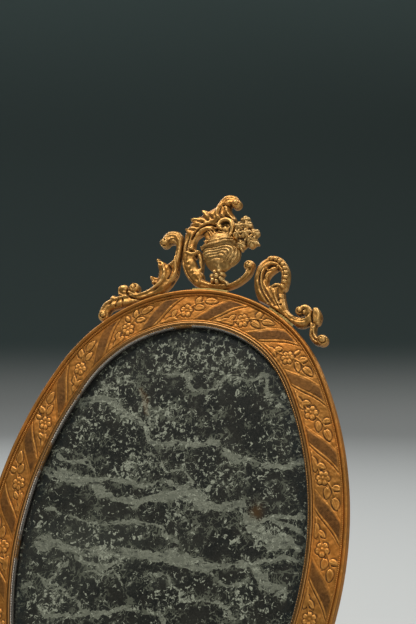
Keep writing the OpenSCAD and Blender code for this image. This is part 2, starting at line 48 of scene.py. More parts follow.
HALF_W = 60.0          # half the oval's width
HALF_H = 84.3          # half the oval's height
END_R = 51.3           # radius of the oval's end arcs
FRAME_D = 8.6          # depth of the frame
LIP = 1.6              # thickness of the lip in front of the glass
WALL = 9.5             # wall outside the glass recess
EDGE = 1.2             # thickness of the outer edge
TAPER = 4.4            # how far the side tapers in towards the back
GAP = 0.05             # clearance between pieces that touch
BEVEL = 5.4            # width of the glass's ground bevel
GLASS_T = 3.0          # thickness of the glass
RECESS = WALL + 0.12   # edge of the frame to the edge of the glass and of the back plate
PIN_DROP = 8.0         # oval's lowest point to the hinge pin
PIN_Z = 5.0            # hinge pin over the table
HANDLE_MID = 58.5      # hinge pin to the row's origin, along the handle
GRIP_START, GRIP_END = 17.0, 100.0   # ends of the grip, from the hinge pin
MID_Z = 5.0            # the handle's parting line over the table
DATUM = 6.6            # runs round the border are measured along this offset
BAND_MID = 6.5         # middle of the chased band, from the edge
RIBBONS = 20           # brown ribbons wound round the border
FIRST_RIBBON = -13.2   # run of the first ribbon from the top of the oval

# the head leans back by what the fold has past upright
joints = {j["name"]: j for j in frame["record"]["behaviour"]["joints"]}
LEAN = math.radians(joints["handle_fold"]["range_deg"][1] - 90)
PIN_V = -(HALF_H + PIN_DROP)
PIN_N = -FRAME_D / 2

# the oval: two end arcs of END_R about (0, +-END_C), two side arcs of SIDE_R
SIDE_R = (HALF_H**2 - 2 * HALF_H * END_R + HALF_W**2) / (2 * (HALF_W - END_R))
END_C = HALF_H - END_R
SIDE_C = SIDE_R - HALF_W
JOIN = math.atan2(END_C, SIDE_C)


def place(p):
    """Head-frame millimetres to row-frame metres."""
    p = np.asarray(p, float)
    u, v, n = p[..., 0], p[..., 1] - PIN_V, p[..., 2] - PIN_N
    s, c = math.sin(LEAN), math.cos(LEAN)
    return np.stack([u, v * s - n * c - HANDLE_MID, v * c + n * s + PIN_Z], -1) / 1000


def on_table(p):
    """Handle-frame millimetres (y from the hinge pin, z up) to row-frame metres."""
    p = np.asarray(p, float)
    return (p - np.array([0, HANDLE_MID, 0])) / 1000


# ------------------------------------------------------------------ numbers


def ease(x, a, b):
    """0 at a, 1 at b and eased between; a may be the greater."""
    t = np.clip((x - a) / (b - a), 0, 1)
    return t * t * (3 - 2 * t)


def hump(x, mid, half):
    """Bell of height 1 about a middle."""
    return np.exp(-(((x - mid) / half) ** 2))


def lattice(x, y, seed):
    """Smooth value noise of two coordinates, 0 to 1, one cell per unit."""
    table = np.random.default_rng(seed).random((256, 256))
    xi, yi = np.floor(x).astype(int), np.floor(y).astype(int)
    fx, fy = x - xi, y - yi
    fx, fy = fx * fx * (3 - 2 * fx), fy * fy * (3 - 2 * fy)
    a = table[xi % 256, yi % 256]
    b = table[(xi + 1) % 256, yi % 256]
    c = table[xi % 256, (yi + 1) % 256]
    d = table[(xi + 1) % 256, (yi + 1) % 256]
    return (a * (1 - fx) + b * fx) * (1 - fy) + (c * (1 - fx) + d * fx) * fy


def fbm(x, y, cell, seed, octaves=4):
    """Layered noise, about -1 to 1, with its largest features about a cell across."""
    total, weight, out = 0.0, 1.0, np.zeros(np.broadcast(x, y).shape)
    for k in range(octaves):
        layer = lattice(x / cell * 2**k + 31.7, y / cell * 2**k + 17.3, seed + k)
        out = out + weight * (2 * layer - 1)
        total += weight
        weight *= 0.5
    return out / total * 1.7


def blur(a, cells, wrap_rows=False):
    """Box blur, twice, over a grid."""
    cells = max(int(cells), 1)
    for _ in range(2):
        for axis in (0, 1):
            mode = "wrap" if (axis == 0 and wrap_rows) else "edge"
            pad = [(0, 0), (0, 0)]
            pad[axis] = (cells, cells)
            s = np.cumsum(np.pad(a, pad, mode=mode), axis=axis)
            s = np.concatenate([np.zeros_like(np.take(s, [0], axis)), s], axis)
            hi = np.take(s, np.arange(2 * cells + 1, s.shape[axis]), axis)
            lo = np.take(s, np.arange(0, s.shape[axis] - 2 * cells - 1), axis)
            a = (hi - lo) / (2 * cells + 1)
    return a


def spline(points, per=7):
    """Catmull-Rom run through points of any number of coordinates."""
    p = np.asarray(points, float)
    out = []
    for i in range(len(p) - 1):
        a, b, c, d = p[max(i - 1, 0)], p[i], p[i + 1], p[min(i + 2, len(p) - 1)]
        for k in range(per):
            t = k / per
            out.append(0.5 * (2 * b + (c - a) * t + (2 * a - 5 * b + 4 * c - d) * t**2
                              + (3 * b - a - 3 * c + d) * t**3))
    out.append(p[-1])
    return np.array(out)


def near_line(u, v, pts):
    """For points (u, v) and a run of (u, v, half width): how far inside its edge each
    point is, and where it is across the run (-1 to 1)."""
    best = np.full(u.shape, -1e9)
    across = np.zeros(u.shape)
    for a, b in zip(pts[:-1], pts[1:]):
        d = b[:2] - a[:2]
        n = float(np.hypot(*d)) or 1e-9
        t = np.clip(((u - a[0]) * d[0] + (v - a[1]) * d[1]) / n**2, 0, 1)
        du, dv = u - a[0] - t * d[0], v - a[1] - t * d[1]
        r = np.hypot(du, dv)
        w = a[2] + t * (b[2] - a[2])
        e = w - r
        nearer = e > best
        best = np.where(nearer, e, best)
        side = np.sign(d[0] * dv - d[1] * du)
        across = np.where(nearer, side * r / np.maximum(w, 1e-6), across)
    return best, across


# ------------------------------------------------------------------ the oval

END_LEN = (END_R - DATUM) * (math.pi / 2 - JOIN)
SIDE_LEN = (SIDE_R - DATUM) * 2 * JOIN
TOTAL_LEN = 4 * END_LEN + 2 * SIDE_LEN


def oval(s, off):
    """(u, v) a distance off inside the edge, at a run s clockwise from the top."""
    s, off = np.broadcast_arrays(np.asarray(s, float) % TOTAL_LEN, np.asarray(off, float))
    left = s > TOTAL_LEN / 2
    h = np.where(left, TOTAL_LEN - s, s)
    top = h < END_LEN
    side = (h >= END_LEN) & (h < END_LEN + SIDE_LEN)
    a = np.where(top, math.pi / 2 - h / (END_R - DATUM),
                 np.where(side, JOIN - (h - END_LEN) / (SIDE_R - DATUM),
                          -JOIN - (h - END_LEN - SIDE_LEN) / (END_R - DATUM)))
    r = np.where(side, SIDE_R, END_R) - off
    u = np.where(side, -SIDE_C, 0) + r * np.cos(a)
    v = np.where(top, END_C, np.where(side, 0, -END_C)) + r * np.sin(a)
    return np.where(left, -u, u), v


def inset(u, v):
    """How far a point lies inside the oval's edge."""
    au, av = np.abs(u), np.abs(v)
    end = av - END_C > au * math.tan(JOIN)
    return np.where(end, END_R - np.hypot(au, av - END_C), SIDE_R - np.hypot(au + SIDE_C, av))


# ------------------------------------------------------------------ meshes


def mesh_object(name, verts, faces, body, mat, layers, sharp=None):
    """Smooth mesh with point attributes, riding on a body."""
    mesh = bpy.data.meshes.new(name)
    mesh.from_pydata(np.asarray(verts).tolist(), [], [tuple(f) for f in faces])
    for key, values in layers.items():
        layer = mesh.attributes.new(key, "FLOAT", "POINT")
        layer.data.foreach_set("value", np.asarray(values, np.float32))
    mesh.update()
    mesh.shade_smooth()
    if sharp:
        mesh.set_sharp_from_angle(angle=math.radians(sharp))
    obj = bpy.data.objects.new(name, mesh)
    bpy.context.scene.collection.objects.link(obj)
    mesh.materials.append(mat)
    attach(obj, body)
    return obj


def volume(verts, faces):
    """Signed volume of a closed mesh of quads."""
    a, b, c, d = (verts[faces[:, k]] for k in range(4))
    half = [np.einsum("ij,ij->i", a, np.cross(p, q)) for p, q in ((b, c), (c, d))]
    return float((half[0] + half[1]).sum() / 6)


def facing_out(verts, faces):
    """The quads of a closed mesh, all turned to face outwards."""
    return faces[:, ::-1] if volume(verts, faces) < 0 else faces


def tube_faces(rows, cols):
    """Quads of a grid that closes on itself both ways."""
    i, j = np.meshgrid(np.arange(rows), np.arange(cols), indexing="ij")
    corners = [((i + a) % rows) * cols + (j + b) % cols for a,
               b in ((0, 0), (1, 0), (1, 1), (0, 1))]
    return np.stack(corners, -1).reshape(-1, 4)


def swept(rows, off, n):
    """A section (off, n) repeated round the oval: runs, offsets and heights, rows x cols."""
    s = np.linspace(0, TOTAL_LEN, rows, endpoint=False)[:, None]
    return [np.broadcast_to(a, (rows, len(off))).copy() for a in (s, off, n)]


def ring_piece(name, s, off, n, mat, **layers):
    """Closed ring on the head, from arrays of rows x cols."""
    u, v = oval(s, off)
    verts = place(np.stack([u, v, n], -1)).reshape(-1, 3)
    faces = facing_out(verts, tube_faces(*off.shape))
    return mesh_object(name, verts, faces.tolist(), "head", mat,
                       {key: values.ravel() for key, values in layers.items()})


def plate_points(loops, rows, first, last):
    """Points of a plate: its loops of (u, v, n), then a middle point for each end."""
    u, v, n = (np.concatenate([np.broadcast_to(loop[k], rows) for loop in loops]) for k in range(3))
    return [np.concatenate([a, b]) for a, b in ((u, [0, 0]), (v, [0, 0]), (n, [first, last]))]


def plate_faces(verts, loops, rows):
    """Faces of a plate of loops of points, closed on the middle point at each end."""
    faces = []
    here = np.arange(rows)
    for k in range(loops - 1):
        a, b = k * rows + here, k * rows + (here + 1) % rows
        faces += np.stack([a, b, b + rows, a + rows], -1).tolist()
    quads = np.array(faces)
    last, middle = (loops - 1) * rows, loops * rows
    for i in range(rows):
        j = (i + 1) % rows
        faces += [(last + i, last + j, middle + 1), (j, i, middle)]
    return faces if volume(verts, quads) >= 0 else [tuple(reversed(f)) for f in faces]


def surface_nets(field, origin, cell):
    """Closed quad mesh of the zero level of a sampled field that is positive inside."""
    inside = field > 0
    nx, ny, nz = field.shape
    total = np.zeros((nx - 1, ny - 1, nz - 1, 3))
    count = np.zeros((nx - 1, ny - 1, nz - 1))
    index = np.full((nx - 1, ny - 1, nz - 1), -1, int)
    crossings, quads = [], []
    for axis in range(3):
        lo, hi = [slice(None)] * 3, [slice(None)] * 3
        lo[axis], hi[axis] = slice(0, -1), slice(1, None)
        a, b = field[tuple(lo)], field[tuple(hi)]
        change = inside[tuple(lo)] != inside[tuple(hi)]
        at = np.argwhere(change)
        fa, fb = a[change], b[change]
        pos = at.astype(float)
        pos[:, axis] += fa / (fa - fb)
        o1, o2 = [k for k in range(3) if k != axis]
        ok = (at[:, o1] > 0) & (at[:, o1] < field.shape[o1] - 1)
        ok &= (at[:, o2] > 0) & (at[:, o2] < field.shape[o2] - 1)
        at, pos, fa = at[ok], pos[ok], fa[ok]
        cells = []
        for d1, d2 in ((1, 1), (0, 1), (0, 0), (1, 0)):
            c = at.copy()
            c[:, o1] -= d1
            c[:, o2] -= d2
            cells.append(c)
            np.add.at(total, (c[:, 0], c[:, 1], c[:, 2]), pos)
            np.add.at(count, (c[:, 0], c[:, 1], c[:, 2]), 1)
        crossings.append((cells, fa > 0, axis))
    used = count > 0
    index[used] = np.arange(used.sum())
    verts = total[used] / count[used][:, None] * cell + np.asarray(origin)
    for cells, forward, axis in crossings:
        q = np.stack([index[c[:, 0], c[:, 1], c[:, 2]] for c in cells], -1)
        flip = forward if axis != 1 else ~forward
        q[flip] = q[flip][:, ::-1]
        quads.append(q)
    return verts, np.concatenate(quads)


def relax(verts, faces, times):
    """Evens a mesh out: every corner moves halfway to the mean of its neighbours."""
    for _ in range(times):
        total = np.zeros_like(verts)
        count = np.zeros(len(verts))
        for k in range(4):
            np.add.at(total, faces[:, k], verts[faces[:, (k + 1) % 4]])
            np.add.at(count, faces[:, k], 1)
        verts = 0.5 * verts + 0.5 * total / count[:, None]
    return verts


def smooth_min(a, b, k):
    """The lesser of two fields, with the crease rounded over a width k."""
    h = np.maximum(k - np.abs(a - b), 0) / k
    return np.minimum(a, b) - h * h * k / 4


class Relief:
    """A casting with a flat back: an outline and a height over it, on a grid."""

    def __init__(self, u0, u1, v0, v1, cell, edge):
        self.cell, self.u0, self.v0, self.edge = cell, u0, v0, edge
        self.u, self.v = np.meshgrid(np.arange(u0, u1, cell), np.arange(v0, v1, cell),
                                     indexing="ij")
        self.rim = np.full(self.u.shape, -1e3)
        self.top = np.full(self.u.shape, edge - 1.0)

    def put(self, inside, height):
        """Adds a shape: how far inside its outline, and its height where it is inside."""
        self.rim = np.maximum(self.rim, inside)
        height = np.where(inside > -0.7, height, self.edge - 1.0)
        blend = 0.25       # mm over which two tops melt together
        h = np.maximum(blend - np.abs(self.top - height), 0) / blend
        self.top = np.maximum(self.top, height) + h * h * blend / 4 * (inside > 0)

    def cut(self, inside, round_=0.25):
        self.rim = smooth_min(self.rim, -inside, round_)

    def run(self, points, top, kind="round", edge=None):
        """A tapering stem along points of (u, v, half width), top high in its middle."""
        pts = spline(points)
        pts[:, 2] = np.maximum(pts[:, 2], 0.15)
        e, t = near_line(self.u, self.v, pts)
        edge = self.edge if edge is None else edge
        a = np.clip(np.abs(t), 0, 1)
        dome = np.maximum(1 - a**3.0, 0) ** 0.6
        if kind == "channel":      # raised edges with a hollow between
            shape = 0.84 * dome + 0.18 * hump(t, 0.55, 0.22) - 0.12 * hump(t, 0.1, 0.22)
            shape -= 0.1 * ease(t, -0.3, -0.8)
        elif kind == "flute":      # acanthus: grooves along the run
            shape = dome * (0.82 + 0.2 * np.cos(t * math.pi * 3.0))
        elif kind == "fold":       # a sharp crest off the middle
            shape = dome * (0.62 + 0.42 * hump(t, 0.3, 0.3)) - 0.12 * hump(t, -0.25, 0.18)
        else:
            shape = dome
        self.put(e, edge + (top - edge) * shape)

    def ball(self, u, v, r, top, edge=None, coil=0.0, turn=0.0, squash=1.0, tilt=0.0):
        """A domed boss; coil cuts a spiral groove into it."""
        du, dv = self.u - u, self.v - v
        c, s = math.cos(tilt), math.sin(tilt)
        x, y = (du * c + dv * s), (-du * s + dv * c) / squash
        d = np.hypot(x, y)
        edge = self.edge if edge is None else edge
        h = np.sqrt(np.maximum(1 - (d / r) ** 2, 0))
        if coil:
            phase = 2 * math.pi * d / (0.66 * r) - np.arctan2(y, x) - turn
            cut = np.clip(np.cos(phase), 0, 1) ** 3
            h = h - coil * cut * ease(d / r, 0.12, 0.4) * ease(d / r, 1.0, 0.75)
        self.put(r - d, edge + (top - edge) * h)

    def ridge(self, points, width, height):
        """A fine line raised along points of (u, v)."""
        e, _ = near_line(self.u, self.v, spline([[*p, 1.0] for p in points]))
        self.top = self.top + height * hump(1 - e, 0, width)

    def groove(self, points, width, depth):
        """A fine line cut along points of (u, v)."""
        self.ridge(points, width, -depth)

    def hollows(self, top, strength):
        """How deep each point lies among its neighbours, 0 to 1."""
        return np.clip(0.5 + (blur(top, 0.7 / self.cell) - top) * strength, 0, 1)

    def solid(self, field, lowest, hollow, name, body, mat, put, back=None):
        """Turns a field over the grid into a closed mesh, shades it and rides it on a body."""
        verts, faces = surface_nets(field, (self.u0, self.v0, lowest), self.cell)
        verts = relax(verts, faces, 2)
        i, j = (np.clip(((verts[:, k] - start) / self.cell).round().astype(int), 0, size - 1)
                for k, start, size in zip((0, 1), (self.u0, self.v0), self.u.shape))
        deep = hollow[i, j]
        if back is not None:
            front = ease(verts[:, 2] - back, 0.3, 1.6)
            deep = 0.55 * (1 - front) + deep * front
        world = put(verts)
        faces = facing_out(world, faces)
        return mesh_object(name, world, faces.tolist(), body, mat, {"cavity": deep})

    def mesh(self, back, name, body, mat, limit, put=place):
        """The casting as a closed mesh with a flat back, no higher than a limit."""
        top = self.top + 0.05 * fbm(self.u, self.v, 0.7, 307, 3)
        top = np.minimum(top + 0.13 * fbm(self.u, self.v, 2.1, 331, 3), limit)
        lowest = back - 2 * self.cell
        highest = float(top[self.rim > 0].max()) + 2 * self.cell
        z = np.arange(lowest, highest + self.cell, self.cell)[None, None, :]
        field = smooth_min(self.rim[..., None], top[..., None] - z, 0.3)
        field = smooth_min(field, z - back, 0.2)
        return self.solid(field, lowest, self.hollows(top, 1.15), name, body, mat, put, back)


# ------------------------------------------------------------------ materials


class Graph:
    """A short hand for a material's nodes."""

    def __init__(self, name):
        self.mat = bpy.data.materials.new(name)
        self.mat.use_nodes = True
        self.tree = self.mat.node_tree
        self.shader = self.tree.nodes["Principled BSDF"]
        self.where = self.tree.nodes.new("ShaderNodeTexCoord").outputs["Object"]

    def link(self, value, socket):
        """Joins an output to a socket, or sets the socket to a constant."""
        if isinstance(value, bpy.types.NodeSocket):
            self.tree.links.new(value, socket)
        elif isinstance(value,
                        (tuple, list)) and len(value) == 3 and len(socket.default_value) == 4:
            socket.default_value = (*value, 1)
        else:
            socket.default_value = value

    def math(self, op, a, b=0.0, clamp=False):
        n = self.tree.nodes.new("ShaderNodeMath")
        n.operation, n.use_clamp = op, clamp
        self.link(a, n.inputs[0])
        self.link(b, n.inputs[1])
        return n.outputs[0]

    def mul(self, a, b):
        return self.math("MULTIPLY", a, b)

    def add(self, a, b, clamp=False):
        return self.math("ADD", a, b, clamp)

    def most(self, a, b):
        return self.math("MAXIMUM", a, b)

    def rest(self, a):
        """1 - a"""
        return self.math("SUBTRACT", 1.0, a)

    def swing(self, noise, amount):
        """A noise about 0 in place of a half, times an amount."""
        return self.mul(self.math("SUBTRACT", noise, 0.5), amount)

    def off_by(self, a, b):
        """Distance between two values."""
        return self.math("ABSOLUTE", self.math("SUBTRACT", a, b))

    def blend(self, kind, first, fac, a, b):
        n = self.tree.nodes.new("ShaderNodeMix")
        n.data_type = kind
        for value, socket in zip((fac, a, b), (0, first, first + 1)):
            self.link(value, n.inputs[socket])
        return n

    def mix(self, fac, a, b):
        """Colour a where fac is 0, b where it is 1."""
        return self.blend("RGBA", 6, fac, a, b).outputs[2]

    def over(self, colour, mask, amount, paint):
        """Paints over a colour, by an amount, where the mask is."""
        return self.mix(self.mul(mask, amount), colour, paint)

    def lerp(self, fac, a, b):
        """Value a where fac is 0, b where it is 1."""
        return self.blend("FLOAT", 2, fac, a, b).outputs[0]

    def step(self, value, lo, hi):
        """0 below lo, 1 above hi (or the other way round), eased between."""
        n = self.tree.nodes.new("ShaderNodeMapRange")
        n.interpolation_type = "SMOOTHSTEP"
        flip = lo > hi
        self.link(value, n.inputs[0])
        n.inputs[1].default_value, n.inputs[2].default_value = min(lo, hi), max(lo, hi)
        n.inputs[3].default_value, n.inputs[4].default_value = (1, 0) if flip else (0, 1)
        return n.outputs[0]

    def noise(self, size_mm, detail, rough=0.55, warp=0.0, where=None):
        """Noise of 0 to 1, about a half, with features about this size."""
        n = self.tree.nodes.new("ShaderNodeTexNoise")
        self.link(where or self.where, n.inputs["Vector"])
        n.inputs["Scale"].default_value = 1000.0 / size_mm
        n.inputs["Detail"].default_value = detail
        n.inputs["Roughness"].default_value = rough
        n.inputs["Distortion"].default_value = warp
        return n.outputs["Fac"]

    def shift(self, by_mm, size_mm):
        """Coordinates moved about by noise."""
        n = self.tree.nodes.new("ShaderNodeTexNoise")
        self.link(self.where, n.inputs["Vector"])
        n.inputs["Scale"].default_value = 1000.0 / size_mm
        n.inputs["Detail"].default_value = 3.0
        v = self.tree.nodes.new("ShaderNodeVectorMath")
        v.operation = "MULTIPLY_ADD"
        self.link(n.outputs["Color"], v.inputs[0])
        v.inputs[1].default_value = (by_mm / 500,) * 3
        self.link(self.where, v.inputs[2])
        return v.outputs[0]

    def stretch(self, x, y, z):
        """Coordinates scaled along each axis, so that a noise on them is drawn out."""
        v = self.tree.nodes.new("ShaderNodeVectorMath")
        v.operation = "MULTIPLY"
        self.link(self.where, v.inputs[0])
        v.inputs[1].default_value = (x, y, z)
        return v.outputs[0]

    def attr(self, name):
        n = self.tree.nodes.new("ShaderNodeAttribute")
        n.attribute_name = name
        return n.outputs["Fac"]

    def bump(self, height, strength, depth_mm, under=None):
        n = self.tree.nodes.new("ShaderNodeBump")
        n.inputs["Strength"].default_value = strength
        n.inputs["Distance"].default_value = depth_mm / 1000
        self.link(height, n.inputs["Height"])
        if under is not None:
            self.link(under, n.inputs["Normal"])
        return n.outputs["Normal"]

    def done(self, colour, rough, metal, normal=None, **fixed):
        """Feeds the shader and gives the finished material."""
        self.link(colour, self.shader.inputs["Base Color"])
        self.link(rough, self.shader.inputs["Roughness"])
        self.link(metal, self.shader.inputs["Metallic"])
        if normal is not None:
            self.link(normal, self.shader.inputs["Normal"])
        for key, value in fixed.items():
            self.link(value, self.shader.inputs[key.replace("_", " ")])
        return self.mat


def gilt(name, warm, olive, bright, deep, carved=True, ribbon=False, rough=0.5):
    """Old fire gilding: warm and olive patches, grime and painted shade in the hollows, raised
    parts lighter as rubbed gilding with a painted highlight.
    """
    g = Graph(name)
    mottle = g.noise(1.6, 5, 0.65, 0.3)
    fine = g.noise(0.35, 3, 0.6)
    colour = g.mix(g.step(g.noise(14, 5, 0.6, 0.6), 0.38, 0.62), warm, olive)
    colour = g.over(colour, g.step(mottle, 0.5, 0.72), 0.5, bright)
    if ribbon:
        streak = g.step(g.noise(0.9, 4, 0.6), 0.35, 0.7)
        brown = g.mix(streak, (0.070, 0.030, 0.009), (0.17, 0.075, 0.022))
        colour = g.mix(g.attr("ribbon"), colour, brown)
    hollow = g.attr("cavity") if carved else g.mul(g.noise(5, 4, 0.6), 0.95)
    # how far into the hollows a point lies, mottled: it drives both the dark hollows and the
    # lighter raised parts
    hollow_and_mottle = g.add(hollow, g.swing(mottle, 0.35))
    grime_and_shade = g.step(hollow_and_mottle, 0.57, 0.86)
    # raised parts lighter: rubbed gilding, with a painted highlight
    colour = g.over(colour, g.step(hollow_and_mottle, 0.40, 0.14), 0.75, bright)
    # hollows darker: grime, with painted shade
    colour = g.over(colour, grime_and_shade, 0.88, deep)
    colour = g.over(colour, g.step(g.noise(0.8, 4, 0.7, 1.0), 0.66, 0.74), 0.55, deep)
    r = g.lerp(grime_and_shade, g.lerp(fine, rough - 0.1, rough + 0.16), 0.75)
    if ribbon:
        r = g.lerp(g.mul(g.attr("ribbon"), 0.5), r, 0.62)
    normal = g.bump(fine, 0.4, 0.03, g.bump(mottle, 0.35, 0.12))
    return g.done(colour, r, g.lerp(grime_and_shade, 0.72, 0.2), normal, Specular_IOR_Level=0.35)


def darker(colour, share):
    return tuple(share * c for c in colour)


def brass(name, base, dull, size, rough, brushed=None, carved=False):
    """Plain worn brass or steel, tarnished in patches; brushed draws its scratches out."""
    g = Graph(name)
    patch = g.step(g.noise(size, 5, 0.62, 0.8), 0.36, 0.68)
    height = fine = g.noise(0.4, 4, 0.6)
    spots = g.step(g.noise(1.1, 5, 0.7, 0.8), 0.6, 0.72)
    colour = g.over(g.mix(patch, base, dull), spots, 0.6, darker(dull, 0.35))
    if carved:
        # grooves darker: grime with painted shade
        colour = g.over(colour, g.step(g.attr("cavity"), 0.57, 0.85), 0.85, darker(dull, 0.22))
    if brushed:
        lines = g.noise(0.5, 3, 0.6, where=g.stretch(*brushed))
        height = g.add(g.mul(lines, 0.8), g.mul(fine, 0.2))
        colour = g.over(colour, g.step(lines, 0.4, 0.7), 0.35, darker(base, 1.2))
    r = g.lerp(patch, rough, rough + 0.18)
    return g.done(colour, r, g.lerp(spots, 0.95, 0.6), g.bump(height, 0.35, 0.05))


GILT_BORDER = gilt("gilt_border", (0.50, 0.19, 0.032), (0.36, 0.155, 0.030), (0.70, 0.345, 0.085),
                   (0.030, 0.012, 0.004), ribbon=True)
GILT_CREST = gilt("gilt_crest", (0.45, 0.20, 0.040), (0.33, 0.17, 0.042), (0.74, 0.43, 0.135),
                  (0.018, 0.008, 0.003), rough=0.42)
GILT_VASE = gilt("gilt_vase", (0.43, 0.225, 0.062), (0.31, 0.18, 0.056), (0.72, 0.47, 0.18),
                 (0.024, 0.012, 0.005), rough=0.44)
GILT_HANDLE = gilt("gilt_handle", (0.49, 0.20, 0.036), (0.36, 0.165, 0.034), (0.72, 0.38, 0.10),
                   (0.026, 0.011, 0.004))
GILT_PLAIN = gilt("gilt_plain", (0.48, 0.19, 0.034), (0.35, 0.155, 0.031), (0.68, 0.35, 0.09),
                  (0.035, 0.014, 0.005), carved=False)
STRAP_BRASS = brass("strap_brass", (0.56, 0.41, 0.14), (0.38, 0.27, 0.09), 3.0, 0.4)
BUTTON_BRASS = brass("button_brass", (0.60, 0.40, 0.14), (0.36, 0.22, 0.075), 4.0, 0.34)
PLATE_BRASS = brass("plate_brass", (0.50, 0.33, 0.115), (0.27, 0.165, 0.06), 22.0, 0.38,
                    brushed=(1, 0.06, 0.06), carved=True)
OLD_STEEL = brass("old_steel", (0.42, 0.40, 0.37), (0.20, 0.16, 0.12), 2.0, 0.32)


def ring_finish():
    """Sight ring: gilding outside, silver worn bare on its inner slope."""
    g = Graph("silvered_ring")
    mottle = g.noise(1.4, 5, 0.65, 0.4)
    silver = g.step(g.add(g.attr("slope"), g.swing(mottle, 0.9)), 0.42, 0.68)
    gold = g.mix(mottle, (0.20, 0.095, 0.028), (0.40, 0.21, 0.07))
    white = g.mix(g.noise(0.7, 4, 0.6), (0.24, 0.21, 0.17), (0.52, 0.49, 0.45))
    # cavity darkening: grime, with painted shade in the crease and where the ring meets the glass
    grime_and_shade = g.step(g.attr("cavity"), 0.56, 0.85)
    colour = g.over(g.mix(silver, gold, white), grime_and_shade, 0.85, (0.045, 0.028, 0.016))
    return g.done(colour, g.lerp(silver, 0.42, 0.26), g.lerp(grime_and_shade, 0.95, 0.5),
                  g.bump(g.noise(0.3, 3, 0.6), 0.3, 0.02))


def glass_finish():
    """Old mirror glass whose silvering has broken down: a dark ground with pale, braided
    veins and speckles behind a polished surface."""
    g = Graph("tarnished_mirror")
    moved = g.shift(0.9, 2.2)
    grain = g.noise(0.5, 5, 0.7, 0.5, where=moved)
    web = g.noise(1.5, 5, 0.68, 0.6, where=moved)
    lumps = g.noise(1.4, 4, 0.62, 0.8, where=moved)
    drawn_out = g.stretch(0.45, 1.0, 1.0)
    vein = g.attr("vein")

    def wire(size, width):
        """Fine wandering lines where a noise crosses its middle value."""
        return g.step(g.off_by(g.noise(size, 2, 0.5, 0.6, where=moved), 0.5), width, 0.55 * width)

    # ground: charcoal, brownish in places, mottled
    broad = g.step(g.noise(8, 4, 0.55, 0.5), 0.4, 0.62)
    ground = g.mix(broad, (0.013, 0.014, 0.013), (0.023, 0.022, 0.018))
    ground = g.mix(g.step(grain, 0.40, 0.75), ground, (0.048, 0.050, 0.041))
    # painted glare: the ground lightened where a soft reflection of light is drawn on
    ground = g.mix(g.mul(g.attr("painted_glare"), g.lerp(grain, 0.25, 0.75)), ground, (0.080, 0.086, 0.070))
    # veins: vein is 0.5 at the drawn edge and changes by 1 in 4 mm; noise wears the edge
    body = g.add(vein, g.swing(web, 0.62))
    holes = g.step(g.noise(1.5, 3, 0.55, 0.9, where=drawn_out), 0.575, 0.60)
    mask = g.mul(g.step(body, 0.495, 0.52), g.rest(g.mul(holes, g.step(body, 1.0, 0.8))))
    streak = g.step(g.noise(0.9, 4, 0.6, 0.6, where=drawn_out), 0.5, 0.6)
    streak = g.mul(g.most(streak, g.step(grain, 0.5, 0.36)),
                   g.step(g.off_by(body, 0.54), 0.02, 0.05))
    colour = g.mix(mask, ground, g.mix(streak, (0.205, 0.218, 0.163), (0.098, 0.105, 0.080)))
    # thin wandering lines, thicker on the ground near a vein
    near = g.add(g.step(vein, 0.05, 0.45), g.step(g.noise(6, 3, 0.5), 0.5, 0.6), clamp=True)
    thread = g.mul(g.most(wire(4.2, 0.026), wire(2.6, 0.030)), near)
    colour = g.over(colour, thread, 0.85, (0.145, 0.155, 0.115))
    # flecks: small pale crumbs that gather in clouds
    fleck = g.add(g.add(lumps, g.mul(g.attr("speck"), 0.085)), g.swing(grain, 0.18))
    flecks = g.step(fleck, 0.622, 0.645)
    crumb = g.mix(g.step(grain, 0.35, 0.65), (0.17, 0.19, 0.14), (0.42, 0.44, 0.34))
    colour = g.over(colour, flecks, 0.92, crumb)
    # brown stains, and the darker rim over the bevel: painted shadow and dark reflection of the lip
    colour = g.mix(g.mul(g.attr("stain"), g.lerp(grain, 0.3, 1.0)), colour, (0.15, 0.075, 0.020))
    rim = g.mul(g.attr("edge"), g.step(g.add(web, g.mul(grain, 0.3)), 0.72, 0.55))
    colour = g.over(colour, rim, 0.72, (0.012, 0.017, 0.019))
    marks = g.most(mask, flecks)
    return g.done(colour, g.lerp(marks, 0.34, 0.62), g.mul(g.rest(marks), 0.25),
                  g.bump(marks, 0.12, 0.05), Coat_Weight=1.0, Coat_Roughness=0.08, Coat_IOR=1.45,
                  Specular_IOR_Level=0.3)


def plain_finish(name, a, b, size, rough, metal=0.0, grain=None, depth=0.1):
    """Felt, board and other stuff inside the frame; grain draws its noise out."""
    g = Graph(name)
    n = g.noise(size, 6, 0.65, 0.4, where=g.stretch(*grain) if grain else None)
    fleck = g.step(g.noise(size * 6, 4, 0.6), 0.4, 0.7)
    colour = g.over(g.mix(g.step(n, 0.3, 0.7), a, b), fleck, 0.35, darker(a, 0.6))
    return g.done(colour, g.lerp(n, rough - 0.08, rough + 0.08), metal, g.bump(n, 0.4, depth))


GLASS = glass_finish()
RING = ring_finish()
SILVERING = plain_finish("tarnished_silver", (0.20, 0.21, 0.19), (0.07, 0.075, 0.07), 2.0, 0.5, 0.8,
                         depth=0.02)
FELT = plain_finish("red_felt", (0.14, 0.03, 0.02), (0.24, 0.06, 0.04), 0.5, 0.9)
BOARD = plain_finish("backing_wood", (0.26, 0.13, 0.05), (0.42, 0.24, 0.11), 1.2, 0.7,
                     grain=(1, 0.12, 0.12))
CORE = plain_finish("core_wood", (0.24, 0.11, 0.04), (0.38, 0.2, 0.09), 1.2, 0.72,
                    grain=(1, 0.1, 1))

# ------------------------------------------------------------------ the border


